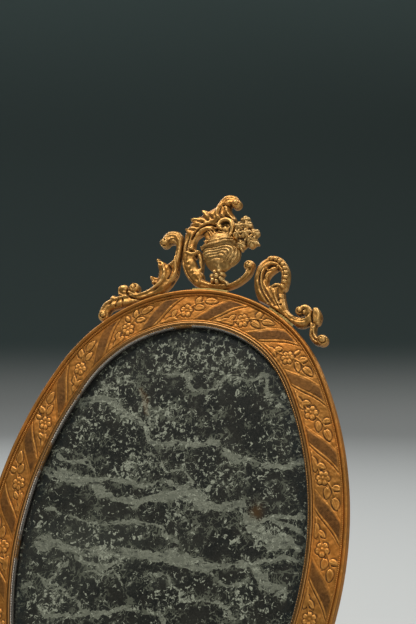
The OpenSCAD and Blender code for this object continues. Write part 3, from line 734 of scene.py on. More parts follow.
def border_relief(s, off):
    """Height in mm of the border's face and how brown its ribbons are."""
    pitch = TOTAL_LEN / RIBBONS
    q = (off - BAND_MID) / 4.3
    run_at = s + 5.0 * q + 1.2 * q**3 - FIRST_RIBBON
    x = (run_at + pitch / 2) % pitch - pitch / 2
    inside = ease(off, 2.35, 2.75) * ease(off, 10.35, 9.9)
    core = ease(np.abs(x), 2.55, 2.15) * inside
    lines = np.cos(2 * math.pi * x / 0.62)
    high = np.full(x.shape, 0.10)
    high += core * (0.10 + 0.045 * lines)
    high += inside * (0.15 * hump(x, 3.0, 0.45) + 0.09 * hump(x, -2.95, 0.42))
    high -= inside * (0.32 * hump(x, 3.7, 0.22) + 0.07 * hump(x, -3.5, 0.22))
    high += 0.05 * fbm(s, off, 1.3, 11, 3) * (1 - core) + 0.018 * fbm(s, off, 0.5, 23, 2)
    brown = core * (0.72 + 0.28 * ease(fbm(s, off, 5.0, 41, 3), -0.9, 0.4))
    brown = brown * (1 - 0.25 * (lines + 1) / 2)
    rng = np.random.default_rng(7)
    spray = np.zeros(s.shape)
    outline = np.zeros(s.shape)
    for k in range(RIBBONS):
        mid = FIRST_RIBBON + (k + 0.5) * pitch
        d = (s - mid + TOTAL_LEN / 2) % TOTAL_LEN - TOTAL_LEN / 2
        rows = np.where(np.abs(d[:, 0]) < 13)[0]
        a, b = d[rows], off[rows] - BAND_MID
        grow = np.zeros(a.shape)
        dark = np.zeros(a.shape)
        wob = lambda r: float(rng.uniform(-r, r))

        def leaf(x0, y0, long, half, turn, tall=0.27):
            """A bent leaf with a raised edge and a cut midrib."""
            nonlocal grow, dark
            x0, y0, turn = x0 + wob(0.3), y0 + wob(0.25), turn + wob(0.22)
            long, half = long * (1 + wob(0.1)), half * (1 + wob(0.12))
            c, t = math.cos(turn), math.sin(turn)
            px, py = (a - x0) * c + (b - y0) * t, -(a - x0) * t + (b - y0) * c
            py = py - 0.10 * px**2 / long * 2
            u = np.clip(px / (long / 2), -1.3, 1.3)
            w = half * np.sqrt(np.maximum(1 - np.abs(u) ** 1.9, 1e-4)) * (1 - 0.25 * u)
            beyond = np.hypot(np.maximum(np.abs(px) - long / 2, 0), py)
            e = np.where(np.abs(u) < 1, w - np.abs(py), -beyond)
            cross = np.clip(np.abs(py) / np.maximum(w, 0.05), 0, 1)
            plate = ease(e, -0.05, 0.2) * (0.62 + 0.38 * ease(cross, 0.9, 0.1))
            shape = plate + 0.35 * hump(e, 0.2, 0.13) - 0.4 * hump(py, 0, 0.14) * ease(e, 0.1, 0.35)
            grow = np.maximum(grow, np.where(e > -0.05, tall * shape, 0))
            dark = np.maximum(dark, hump(e, -0.16, 0.17))

        def blossom(x0, y0, r):
            """An open flower of five or six petals."""
            nonlocal grow, dark
            tall = 0.36
            x0, y0 = x0 + wob(0.4), y0 + wob(0.2)
            n = 6 if rng.random() < 0.7 else 5
            turn = wob(0.6)
            dx, dy = a - x0, b - y0
            dist, ang = np.hypot(dx, dy), np.arctan2(dy, dx) + turn
            petal = np.abs(np.cos(n / 2 * ang))
            edge = r * (0.66 + 0.34 * petal**0.7)
            e = edge - dist
            shape = ease(e, -0.03, 0.25) * (0.35 + 0.65 * petal**0.6)
            shape = shape * (0.5 + 0.5 * ease(dist / r, 0.2, 0.6))
            shape -= 0.3 * hump(petal, 1.0, 0.06) * ease(dist / r, 0.35, 0.6)
            grow = np.maximum(grow, tall * shape * (dist < 1.2 * r))
            grow = np.maximum(grow, tall * np.sqrt(np.maximum(1 - (dist / 0.55) ** 2, 0)))
            dark = np.maximum(dark, hump(e, -0.12, 0.15))

        def stem(points, half, tall):
            """A round stalk."""
            nonlocal grow
            e, t = near_line(a, b, spline([[*p, half] for p in points], 4))
            grow = np.maximum(grow, tall * np.sqrt(np.maximum(1 - t**2, 0)) * (e > 0))

        stem([(-9.5, 3.4), (-6.5, 3.0), (-3.2, 1.9), (-0.6, 0.6), (2.2, -1.2), (5, -2.2)], 0.22,
             0.2)
        leaf(3.2, -3.0, 3.0, 0.95, -1.2)
        leaf(7.4, -2.6, 3.8, 1.05, -0.2)
        leaf(4.2, -0.3, 3.4, 1.0, 0.05)
        leaf(-5.7, 3.1, 4.8, 1.05, -0.1)
        leaf(-4.6, 1.2, 2.8, 0.85, -0.95)
        blossom(-0.4, 0.8, 2.25)
        if rng.random() < 0.4:
            leaf(0.4, -2.7, 2.2, 0.6, -1.5, 0.3)
        keep = ease(off[rows], 2.25, 2.6) * ease(off[rows], 10.4, 9.95)
        spray[rows] = np.maximum(spray[rows], grow * keep)
        outline[rows] = np.maximum(outline[rows], dark * keep)
    clear = 1 - np.clip(core + hump(np.abs(x), 2.85, 0.5), 0, 1)
    high += spray * (0.35 + 0.65 * clear)
    high -= 0.19 * outline * clear * (spray < 0.05)
    high += 0.06 * fbm(s, off, 2.6, 61, 2) * (1 - core)
    high += 0.14 * hump(off, 10.72, 0.16) - 0.10 * hump(off, 10.35, 0.14)
    high *= ease(off, 2.0, 2.35)
    return np.clip(high, -0.25, 1.15), brown


def border():
    """The chased face, its lip and recess, and the side that tapers in to the back."""
    lip = [(10.9, 0.02), (10.9, -0.8), (10.9, -1.45), (10.8, -1.58), (9.7, -1.58), (9.52, -1.7)]
    inner = [(9.52, -5.0), (9.52, -8.3), (9.35, -8.58)]
    back = [(8.6, -8.6), (5.2, -8.6), (4.7, -8.55)]
    # the side, back to front, with two scribed lines: share of the taper, depth of the line
    side = [(0.97, 0.05), (0.9, 0.0), (0.84, 0.0), (0.81, 0.16), (0.78, 0.22), (0.75, 0.16),
            (0.72, 0.0), (0.5, -0.05), (0.34, 0.0), (0.31, 0.16), (0.28, 0.22), (0.25, 0.16),
            (0.22, 0.0), (0.1, 0.0)]
    wall = [(TAPER * t + 0.86 * dip + 0.03, -EDGE - (FRAME_D - EDGE) * t + 0.5 * dip)
            for t, dip in side]
    wall += [(0.03, -EDGE), (0.02, -0.6), (0.05, -0.2), (0.5, 0.0), (1.6, 0.0)]
    rest = np.array(lip + inner + back + wall)
    cols = 54                  # across the chased face
    face = np.linspace(2.25, 10.85, cols)
    s, off, n = swept(1640, np.concatenate([face, rest[:, 0]]),
                      np.concatenate([face * 0, rest[:, 1]]))
    high, brown = border_relief(s[:, :cols], off[:, :cols])
    n[:, :cols] = high
    n[:, cols] = np.minimum(high[:, -1], 0.1)
    # cavity: the face's hollows, the scribed lines and, a little, the lip and recess are made
    # darker by the finish, as grime with painted shade
    deep = np.full(off.shape, 0.62)
    deep[:, :cols] = np.clip(0.47 + (blur(high, 3, True) - high) * 2.0, 0, 1)
    wall_at = cols + len(lip + inner + back)
    deep[:, wall_at:] = 0.42
    deep[:, [wall_at + k for k, (_, dip) in enumerate(side) if dip > 0.1]] = 0.85
    band = np.zeros(off.shape)
    band[:, :cols] = brown
    obj = ring_piece("gilt_border", s, off, n, GILT_BORDER, cavity=deep, ribbon=band)
    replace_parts(obj, "front_frame")


def outer_bead():
    """Half-round bead round the edge with a fine milled cord inside it."""
    half = np.radians(np.linspace(0, 180, 12))
    cord = np.radians(np.linspace(0, 180, 7))
    base = np.concatenate([0.06 + 1.1 * np.sin(half) ** 0.8, 0.10 + 0.52 * np.sin(cord),
                           [0.04, 0.04]])
    s, off, n = swept(3300, np.concatenate([0.68 - 0.62 * np.cos(half), 1.76 - 0.38 * np.cos(cord),
                                            [1.9, 1.0]]), base)
    mills = round(TOTAL_LEN / 0.56)
    mill = 0.5 + 0.5 * np.cos(2 * math.pi * (s / TOTAL_LEN * mills + off * 0.6))
    corded = ((off > 1.34) & (base > 0.2)).astype(float)
    n -= corded * 0.26 * (1 - mill) * base
    n += 0.05 * fbm(s, off, 6.0, 71, 3) * (base > 0.5)
    n = np.minimum(n, 1.28)
    deep = np.full(off.shape, 0.40) + corded * (0.28 * (1 - mill))
    deep[:, 11:13] = 0.95      # painted shade in the crease between bead and cord
    obj = ring_piece("gilt_rim_bead", s, off, n, GILT_BORDER, cavity=deep, ribbon=deep * 0)
    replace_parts(obj, "rim_bead")


def inner_ring():
    """Sight ring, roped along its inner slope."""
    prof = np.array([(10.97, -1.55), (10.97, 0.05), (11.06, 0.3), (11.3, 0.48), (11.6, 0.5),
                     (11.85, 0.4), (11.98, 0.16), (12.06, 0.1), (12.16, 0.22), (12.3, 0.3),
                     (12.44, 0.24), (12.56, 0.08), (12.68, -0.15), (12.78, -0.45), (12.83, -1.0),
                     (12.8, -1.55)])
    s, off, n = swept(3000, prof[:, 0], prof[:, 1])
    turns = round(TOTAL_LEN / 0.85)
    twist = 0.5 + 0.5 * np.cos(2 * math.pi * (s / TOTAL_LEN * turns - (off - 11.9) * 0.9))
    rope = ((off > 12.1) & (off < 12.8) & (n > -0.3)).astype(float)
    n -= rope * 0.12 * (1 - twist)
    slope = ease(off, 12.15, 12.5) - 0.3 + 0.30 * fbm(s, off, 14.0, 83, 2)
    deep = 0.36 + 0.34 * rope * (1 - twist)
    deep[:, 6:8] = 1.0         # painted shade in the crease beside the rope
    deep[:, 14:] = 0.8         # painted shade against the glass
    obj = ring_piece("silvered_sight_ring", s, off, n, RING, cavity=deep, slope=slope)
    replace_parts(obj, "sight_ring")


# ------------------------------------------------------------------ the glass

# pale veins in the mirror: a width and points (u, v), all in mm
VEINS = [
    (2.3, [(-47, 45), (-35, 46), (-31, 47), (-26, 47), (-23, 46), (-21, 44), (-17, 42), (-12, 38),
           (-8, 33.5), (-1, 33.5), (7, 33.5), (11.5, 34), (15, 33), (18, 30.5), (22, 29), (31, 28),
           (38, 28), (44, 29.5)]),
    (3.2, [(-45, 23), (-37, 21), (-29, 20), (-25, 18.5), (-21, 16), (-17, 14.7), (-10, 14.3),
           (-6, 15.5), (-1, 16), (4, 17.4), (8, 17.8), (11, 15.8), (15, 14.7), (19, 14), (24, 16),
           (25.5, 14), (27, 10.5), (30, 8), (33, 5.5), (36, 3.5), (40, 5), (46, 3.5)]),
    (1.0, [(-30, 21), (-22, 20.4), (-14, 19.5), (-5, 20.5), (6, 20)]),
    (1.7, [(-41, 30), (-38, 26.5), (-33, 26), (-29, 25), (-26, 23), (-24.5, 20.5)]),
    (1.1, [(31.5, 10.5), (35, 12), (38.5, 12), (45, 12.8)]),
    (1.0, [(35, 11), (38, 9.2), (41, 9), (45, 8)]),
    (1.1, [(-10, 57), (-3, 56), (0, 54.7), (2, 52.4), (4, 50.5), (9.6, 51), (11.5, 53), (14, 55.5),
           (20, 55), (26, 55.7), (28, 54), (29, 50.5), (31, 48), (35.5, 45.5), (38, 43)]),
    (0.7, [(-29.6, 53.5), (-27, 51), (-23.5, 53.5), (-20.8, 53.7), (-17.7, 52.4), (-15.4, 49.7),
           (-13, 46.6), (-10.8, 42.8), (-10, 38), (-8, 34)]),
    (1.1, [(-40, 10.5), (-34.6, 9.3), (-28.5, 8.2), (-20, 6.6), (-11.5, 7.4), (-2, 7), (0, 5.5),
           (2.3, 3.5), (5.4, 2)]),
    (3.2, [(-40, -1), (-28.5, -1.8), (-18, -2), (-7, -2), (4, -2), (11.5, -3.4), (19, -4.5),
           (27, -2.6), (31.5, -3.4), (34.6, -5.7), (37, -8.8), (43, -11)]),
    (1.3, [(-27, -4.5), (-21.5, -6), (-17, -6.5), (-11.5, -4.5)]),
    (1.2, [(31.5, -2.6), (34.6, -1), (45.4, -0.3)]),
    (1.0, [(17, -5.7), (23, -9.2), (27, -9.5), (30, -7.6)]),
    (1.6, [(-45, -16.5), (-41.5, -12.6), (-34, -11), (-31.5, -8.4), (-30, -6.5)]),
    (1.4, [(-37, -12.6), (-28, -15.7), (-24, -17), (-21.5, -20), (-15.4, -22)]),
    (1.6, [(-36, -21), (-31, -23.4), (-21.5, -21), (-14, -20.3), (-2.3, -18.8), (3, -19.5),
           (5.4, -21.8)]),
    (0.8, [(10, -15), (17.7, -13.8), (24, -16), (28.5, -20)]),
    (0.6, [(-11.5, 29.7), (-7, 29.3), (-4, 26), (-1.5, 24), (3, 25), (6.5, 23), (7.3, 20.5)]),
    (0.6, [(-24, -9), (-14, -8.4), (-9, -11.8), (-4, -9), (1.5, -7.6), (5.4, -8.8), (10, -14)]),
    # below the photograph's edge, in kind
    (2.6, [(-42, -30), (-33, -31), (-24, -34), (-15, -33), (-5, -31), (6, -33), (14, -36),
           (24, -34), (33, -35), (42, -32)]),
    (1.4, [(-36, -41), (-27, -43), (-18, -41), (-8, -44), (1, -47), (11, -45), (20, -47), (30, -44),
           (38, -45)]),
    (2.4, [(-33, -52), (-24, -54), (-13, -53), (-3, -57), (8, -58), (17, -55), (27, -56),
           (32, -55)]),
    (0.8, [(-10, -24), (-6, -28), (2, -27), (9, -30), (18, -28), (25, -29)]),
    (0.9, [(-20, -63), (-9, -65), (3, -64), (12, -67), (20, -64)]),
]

# clouds of speckles: u, v, half width, half height, strength
CLOUDS = [
    (-3, 62, 14, 8, 1.0), (-4, 42, 18, 8, 0.9), (4, 11, 5, 3.5, 0.9), (35, 7, 6, 3, 0.9),
    (-34, -18, 6, 5, 0.8), (30, -14, 7, 7, 0.8), (4, -15, 8, 5, 0.8), (20, 60, 10, 6, 0.6),
    (32, 38, 8, 6, 0.6), (-30, 38, 8, 6, 0.6), (-16, 26, 10, 4, 0.6), (22, 22, 12, 4, 0.6),
    (-20, 0, 14, 5, 0.5), (-10, -36, 14, 6, 0.7), (16, -42, 12, 6, 0.7), (-6, -50, 16, 6, 0.6),
    (6, -62, 14, 5, 0.7), (0, 27, 14, 5, 0.4), (34, 50, 6, 5, 0.6), (-28, 52, 7, 6, 0.6),
]


def blot(u, v, u0, v0, half_u, half_v):
    """Soft oval spot."""
    return np.exp(-(((u - u0) / half_u) ** 2) - ((v - v0) / half_v) ** 2)


def mirror():
    """Bevelled glass, close-meshed so that the decay of its silvering can be drawn on it."""
    rows, rings = 780, 116
    s = np.linspace(0, TOTAL_LEN, rows, endpoint=False)
    eu, ev = oval(s, RECESS)
    iu, iv = oval(s, RECESS + BEVEL)
    front = -LIP - GAP
    loops = [(eu, ev, front - GLASS_T), (eu, ev, front - 0.4)]
    loops += [(eu + (iu - eu) * k, ev + (iv - ev) * k, front - 0.38 * (1 - k))
              for k in (0.25, 0.5, 0.75)]
    loops.append((iu, iv, front))
    loops += [(iu * t, iv * t, front) for t in np.linspace(0.995, 1.0 / rings, rings - 1)]
    u, v, n = plate_points(loops, rows, front - GLASS_T, front)
    # the drawn pattern, wandering a little
    wu = u + 1.0 * fbm(u, v, 4.5, 101, 4)
    wv = v + 1.0 * fbm(u, v, 3.6, 131, 4)
    vein = np.full(u.shape, -2.0)
    for width, pts in VEINS:
        path = spline([[*p, width / 2] for p in pts], 3)
        (u0, v0), (u1, v1) = path[:, :2].min(0) - 4, path[:, :2].max(0) + 4
        near = np.where((wv > v0) & (wv < v1) & (wu > u0) & (wu < u1))[0]
        e, _ = near_line(wu[near], wv[near], path)
        swell = 0.55 * width * (0.25 + fbm(wu[near], wv[near], 6.0, 151, 3))
        vein[near] = np.maximum(vein[near], e - (0.0 if width < 1.5 else 0.22) + swell * 0.5)
    vein = np.clip(0.5 + vein / 4, 0, 1)
    speck = 0.15 + 0.45 * fbm(u, v, 9.0, 171, 3)
    for *where, amount in CLOUDS:
        speck += amount * blot(wu, wv, *where)
    speck -= 1.2 * blot(u, v, 15, 3.5, 2.2, 4)
    speck = np.clip(speck, 0, 1)
    # painted glare: pale reflections of light drawn into the glass at the left and in a small spot
    # at the top
    painted_glare = 0.85 * blot(wu, wv, -22, 1, 20, 9) + 0.45 * blot(wu, wv, -32, -18, 14, 16)
    painted_glare += 0.8 * blot(u, v, 0, 69, 1.6, 1.3)
    painted_glare = np.clip(painted_glare + 0.25 * fbm(u, v, 4.0, 191, 4), 0, 1)
    stain = 0.8 * blot(wu, wv, 29.5, 13.5, 1.6, 2.6)
    e, _ = near_line(wu, wv, spline([(-15.5, 50.5, 0.5), (-13, 47, 0.6), (-11.3, 43, 0.5)], 3))
    stain = np.clip(stain + 0.5 * ease(e, -0.6, 0.2), 0, 1)
    # painted shade: the band over the bevel that the lip shadows and darkly reflects
    edge = ease(inset(u, v), 17.5, 14.2)
    verts = place(np.stack([u, v, n], -1))
    layers = {"vein": vein, "speck": speck, "painted_glare": painted_glare, "stain": stain, "edge": edge}
    obj = mesh_object("old_mirror_glass", verts, plate_faces(verts, len(loops), rows), "head",
                      GLASS, layers, sharp=20)
    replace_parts(obj, "mirror_glass")


border()
outer_bead()
inner_ring()
mirror()

# ------------------------------------------------------------------ the crest

CREST_BACK = -2.7      # flat back of the three castings
EDGE_N = -0.9          # height of a casting's thin edge
VASE_BACK = -0.95      # flat back of the vase, bouquet and rosette
VASE_EDGE = -0.6       # height of their thin edge
STRAP_OUT = END_R + 0.8 + GAP        # outside of the straps, from the end arc's centre


def casting(u0, u1, v0, v1):
    """An empty crest casting over a patch of the head's drawing."""
    return Relief(u0, u1, v0, v1, 0.18, EDGE_N)


def off_rim(r):
    """Keeps a casting off the frame and its straps."""
    r.rim = np.minimum(r.rim, np.hypot(r.u, r.v - END_C) - STRAP_OUT)


def left_scroll():
    """Acanthus scroll that rises from the frame and curls over to the left."""
    r = casting(-37, -6, 73, 109)
    stem = [(-33, 76.6, 1.8), (-31.9, 79, 1.9), (-28.4, 80.5, 2.1), (-24, 81.3, 2.2),
            (-20, 82.1, 1.8), (-16, 84.1, 2.0), (-12.9, 87.5, 2.5), (-11.7, 91.2, 2.6),
            (-10.1, 94.8, 1.15), (-9.9, 98, 1.0), (-10.2, 101, 1.2), (-11.6, 103.2, 2.1),
            (-13.8, 103.5, 2.3), (-15.4, 102.3, 1.5)]
    r.run([(-15.9, 94.3, 0.7), (-14, 92.4, 1.5), (-13.7, 90, 1.4), (-14.2, 88, 1.5)], 0.25)
    r.run([(-12.6, 91.2, 1.8), (-15.1, 93.4, 1.0), (-16.8, 95.4, 0.4)], 0.4, "fold")
    r.run([(-14.2, 87.2, 1.6), (-16.6, 88, 1.1), (-18, 89.2, 0.4)], 0.4, "fold")
    r.run([(-22.6, 82.6, 1.2), (-24.9, 83.6, 1.7), (-27.4, 83.8, 1.8), (-28, 85, 1.3)], 0.55,
          "flute")
    r.run(stem, 0.6, "channel")
    r.run([(-15.6, 93.4, 0.9), (-13.8, 91.6, 2.0), (-13.4, 89.0, 2.3), (-14.2, 86.6, 1.6)], 0.42)
    # acanthus folds over the elbow, with the dark pocket beside them
    r.run([(-16.2, 84.9, 0.5), (-14.4, 86.6, 0.8), (-13.2, 88.9, 0.9), (-13.3, 91.2, 0.8),
           (-14.3, 93.0, 0.5)], 1.05)
    r.run([(-10.5, 96.2, 0.4), (-9.9, 93.4, 0.6), (-9.5, 90.6, 0.6), (-10.6, 87.8, 0.5),
           (-12.8, 85.4, 0.4)], 0.6)
    r.groove([(-12.2, 92.9), (-11.3, 91.8), (-11.2, 90.2), (-11.7, 88.4)], 0.4, 0.8)
    r.groove([(-15.8, 94.0), (-15.4, 93.7)], 0.22, 0.8)
    r.ball(-16.5, 95.0, 0.62, 0.6)
    r.ball(-17.8, 88.8, 0.65, 0.5)
    r.ball(-17.0, 87.1, 0.55, 0.35)
    r.groove([(-17.3, 88.2), (-16.2, 87.7), (-15.4, 87.2)], 0.2, 0.5)
    # curl: rolled lines into the ball
    r.groove([(-14.4, 101.2), (-13.4, 102.2), (-12.0, 102.4), (-10.9, 101.2), (-10.5, 99.0),
              (-10.3, 96.6)], 0.24, 0.55)
    r.groove([(-15.0, 104.0), (-13.3, 104.6), (-11.4, 104.2), (-9.9, 102.6)], 0.22, 0.3)
    r.ball(-15.4, 101.6, 1.75, 1.2, coil=0.45, turn=2.4)
    # lumps and flutes at the foot
    r.groove([(-25.7, 84.2), (-25.4, 82.8), (-23.4, 81.6), (-20.6, 81.1), (-17.6, 81.9)], 0.26,
             0.75)
    r.groove([(-31.4, 79.4), (-30.4, 80.6), (-29.9, 82.0)], 0.24, 0.6)
    r.groove([(-29.2, 78.8), (-28.6, 80.2), (-28.5, 81.6)], 0.22, 0.5)
    r.groove([(-26.6, 79.0), (-26.5, 80.2), (-27.0, 81.4)], 0.22, 0.5)
    r.ridge([(-30.2, 79.2), (-28.4, 79.6), (-25.8, 79.9), (-22.8, 80.2)], 0.4, 0.25)
    r.ball(-33, 75.6, 1.9, 0.95, coil=0.45, turn=0.4)
    r.ball(-23.7, 85.3, 1.85, 1.0, coil=0.5, turn=4.4)
    r.ball(-27.3, 84.9, 1.75, 0.8, squash=0.85, tilt=0.5)
    r.ball(-30.4, 81.3, 1.35, 0.55)
    r.groove([(-26.2, 86.4), (-25.7, 85.0), (-25.9, 83.6)], 0.24, 0.8)
    off_rim(r)
    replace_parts(r.mesh(CREST_BACK, "acanthus_scroll_left", "head", GILT_CREST, limit=1.25),
                "crest_left_scroll")


def cartouche():
    """Shell-edged C-scroll that holds the vase."""
    r = casting(-11.5, 19, 83, 120.5)
    r.run([(-3.2, 89, 1.6), (-1.1, 87.4, 1.6), (2.5, 86.1, 1.3), (6.5, 85.7, 1.0), (10, 85.9, 0.85),
           (13, 87.3, 0.85), (15.5, 89.9, 1.05), (15.9, 92.2, 1.4)], 0.2, "fold")
    r.run([(0.2, 109, 2.4), (3.6, 108.4, 3.0), (6.3, 107, 2.5), (8, 105, 2.4), (9, 103.4, 2.6)],
          -0.2)
    r.run([(-0.6, 104.6, 1.5), (1.6, 103.2, 2.4), (4.6, 102.6, 2.4), (8, 102.6, 1.8)], -0.2)
    r.run([(4.4, 102, 2.6), (5.3, 98, 2.0), (5.6, 93, 1.4), (5.8, 89, 1.5), (6, 85.8, 2.4)], -0.3)
    # leaves and buds that fill the space over the vase
    r.run([(-0.4, 105.6, 0.7), (0.9, 104.9, 1.2), (1.9, 103.2, 1.3), (0.6, 101.7, 0.8),
           (-0.8, 101.4, 0.4)], 0.7, "flute")
    r.run([(3.6, 104.6, 0.6), (5.2, 103.9, 1.1), (7.0, 103.4, 1.0), (8.6, 103.6, 0.5)], 0.9, "fold")
    r.run([(3.8, 102.4, 0.5), (5.8, 102.6, 0.9), (8.0, 102.4, 0.8), (9.6, 101.9, 0.4)], 0.75,
          "fold")
    r.run([(-1.0, 99.4, 0.5), (0.2, 100.6, 0.8), (1.8, 101.2, 0.8), (3.2, 101.0, 0.5)], 0.7, "fold")
    r.run([(0.4, 107, 1.3), (-2.8, 105.6, 1.1), (-4.9, 102.6, 0.9), (-5, 99.3, 1.0),
           (-2.9, 97.7, 0.8), (-1.5, 95.4, 0.7), (-1.1, 92, 0.7), (-1.2, 88.8, 0.8)], 0.1)
    for pts in ([(-4.2, 108.6, 1.5), (-5.6, 109.2, 1.0), (-6.9, 109.4, 0.5)],
                [(-1.6, 110.8, 1.5), (-2.4, 111.8, 1.0), (-3.4, 112.4, 0.5)],
                [(-6.6, 104.6, 1.3), (-7.4, 105.4, 0.9), (-8.3, 105.9, 0.4)]):
        r.run(pts, 0.45)
    r.run([(7.6, 115.2, 1.5), (6.4, 116.3, 1.8), (4.7, 116.2, 2.1), (3.5, 114.6, 2.3),
           (2.9, 112.2, 2.9), (-0.3, 110, 3.0), (-3.8, 107.8, 2.8), (-6.3, 104.9, 2.2),
           (-6.9, 101.5, 1.6), (-6.8, 97.5, 1.6), (-5.8, 93.6, 2.0), (-3.8, 90.2, 2.0),
           (-1.1, 87.6, 1.6)], 0.6, "channel")
    r.run([(-5.4, 96.2, 1.9), (-4.6, 93.4, 2.2), (-3.2, 91.0, 2.0), (-1.4, 89.2, 1.8)], 0.45)
    # shell flutes fanning over the shoulder
    for pts in ([(-7.2, 109.3), (-5.0, 108.9), (-2.6, 108.2)],
                [(-4.6, 111.3), (-2.8, 110.2), (-0.8, 108.9)],
                [(-1.9, 112.3), (-0.7, 110.9), (0.8, 109.5)],
                [(-8.4, 105.6), (-6.5, 105.6), (-4.9, 105.4)],
                [(-7.6, 107.2), (-5.6, 107.0), (-4.0, 106.6)]):
        r.groove(pts, 0.26, 0.42)
    for pts in ([(-6.4, 110.4), (-4.2, 109.9), (-1.8, 108.7)],
                [(-3.2, 112.0), (-1.7, 110.8), (0.0, 109.2)],
                [(-7.6, 108.2), (-5.2, 108.0), (-3.0, 107.6)]):
        r.ridge(pts, 0.32, 0.16)
    r.run([(4.9, 113.4, 0.8), (5.1, 111.8, 1.3), (6.3, 110.2, 1.5), (7.6, 109.2, 1.0)], 0.5, "fold")
    r.ridge([(1.7, 114.2), (1.6, 112.4), (2.0, 110.8), (3.4, 109.4)], 0.4, 0.35)
    r.groove([(2.9, 113.4), (2.7, 111.8), (3.3, 110.4), (4.6, 109.5)], 0.24, 0.5)
    r.groove([(4.4, 112.9), (4.3, 111.6), (5.2, 110.3), (6.4, 109.7)], 0.22, 0.4)
    r.groove([(3.6, 114.2), (4.6, 114.3), (5.6, 113.9), (6.3, 113.3)], 0.28, 0.8)
    r.groove([(3.0, 115.6), (4.4, 116.8), (6.2, 117.0), (7.6, 116.4)], 0.22, 0.3)
    # dark line between the outer C and the panel inside it
    r.groove([(2.3, 107.0), (-0.4, 107.4), (-3.0, 106.4), (-4.7, 104.6), (-5.6, 102.4)], 0.32, 0.95)
    r.ridge([(1.6, 105.9), (-0.8, 106.3), (-2.9, 105.3), (-4.2, 103.8)], 0.36, 0.35)
    r.groove([(1.4, 105.0), (-0.6, 105.2), (-2.4, 104.3)], 0.22, 0.4)
    r.groove([(-6.4, 103.4), (-6.8, 100.6), (-6.7, 98.2)], 0.24, 0.45)
    r.ball(-5.2, 99.0, 1.35, 0.95, coil=0.5, turn=1.0)
    r.run([(-6.4, 97.5, 0.5), (-4.4, 96.9, 0.65), (-2.4, 97.8, 0.5)], 0.8)
    for u, v, size in ((-5.6, 93.9, 0.95), (-4.8, 92.2, 0.9), (-3.8, 90.8, 0.85),
                       (-2.6, 89.6, 0.8)):
        r.ball(u, v, size, 0.85, squash=0.8, tilt=0.9)
    r.groove([(-7.4, 95.2), (-6.6, 92.6), (-4.8, 89.6), (-2.6, 87.4)], 0.24, 0.5)
    # small C-scroll over the bud
    r.run([(4.6, 105.6, 0.6), (3.3, 106.6, 0.8), (3.8, 108.4, 0.85), (5.6, 109.0, 0.9),
           (7.4, 108.2, 0.9), (8.2, 106.4, 0.85), (8.2, 104.6, 0.75), (7.8, 103.1, 0.6)], 1.1)
    r.run([(5.2, 105.4, 0.5), (6.6, 105.2, 0.8), (7.0, 103.4, 0.7)], 0.6)
    r.ball(5.9, 105.6, 1.9, 0.72)
    r.groove([(4.9, 106.6), (5.8, 106.9), (6.6, 106.3)], 0.3, 0.7)
    r.ball(4.0, 106.4, 1.0, 1.15, coil=0.4, turn=0.5)
    r.ball(2.5, 103.4, 1.5, 1.0, squash=0.9, coil=0.3, turn=3.0)
    r.groove([(1.2, 102.4), (2.6, 101.4), (4.2, 101.5), (5.6, 102.2)], 0.3, 0.9)
    r.ball(7.9, 115.0, 1.6, 1.28, coil=0.35, turn=0.0)
    r.ball(15.7, 93.0, 1.8, 0.8, coil=0.5, turn=2.0)
    r.cut(1.0 - np.hypot((r.u + 3.0) / 1.6, (r.v - 101.0) / 2.8))
    r.cut(0.55 - np.abs((r.u + 2.4) + (r.v - 93.9) * 0.62) - np.maximum(np.abs(r.v - 93.9) - 1.7,
                                                                        0))
    off_rim(r)
    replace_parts(r.mesh(CREST_BACK, "shell_cartouche", "head", GILT_CREST, limit=1.28),
                "crest_cartouche")


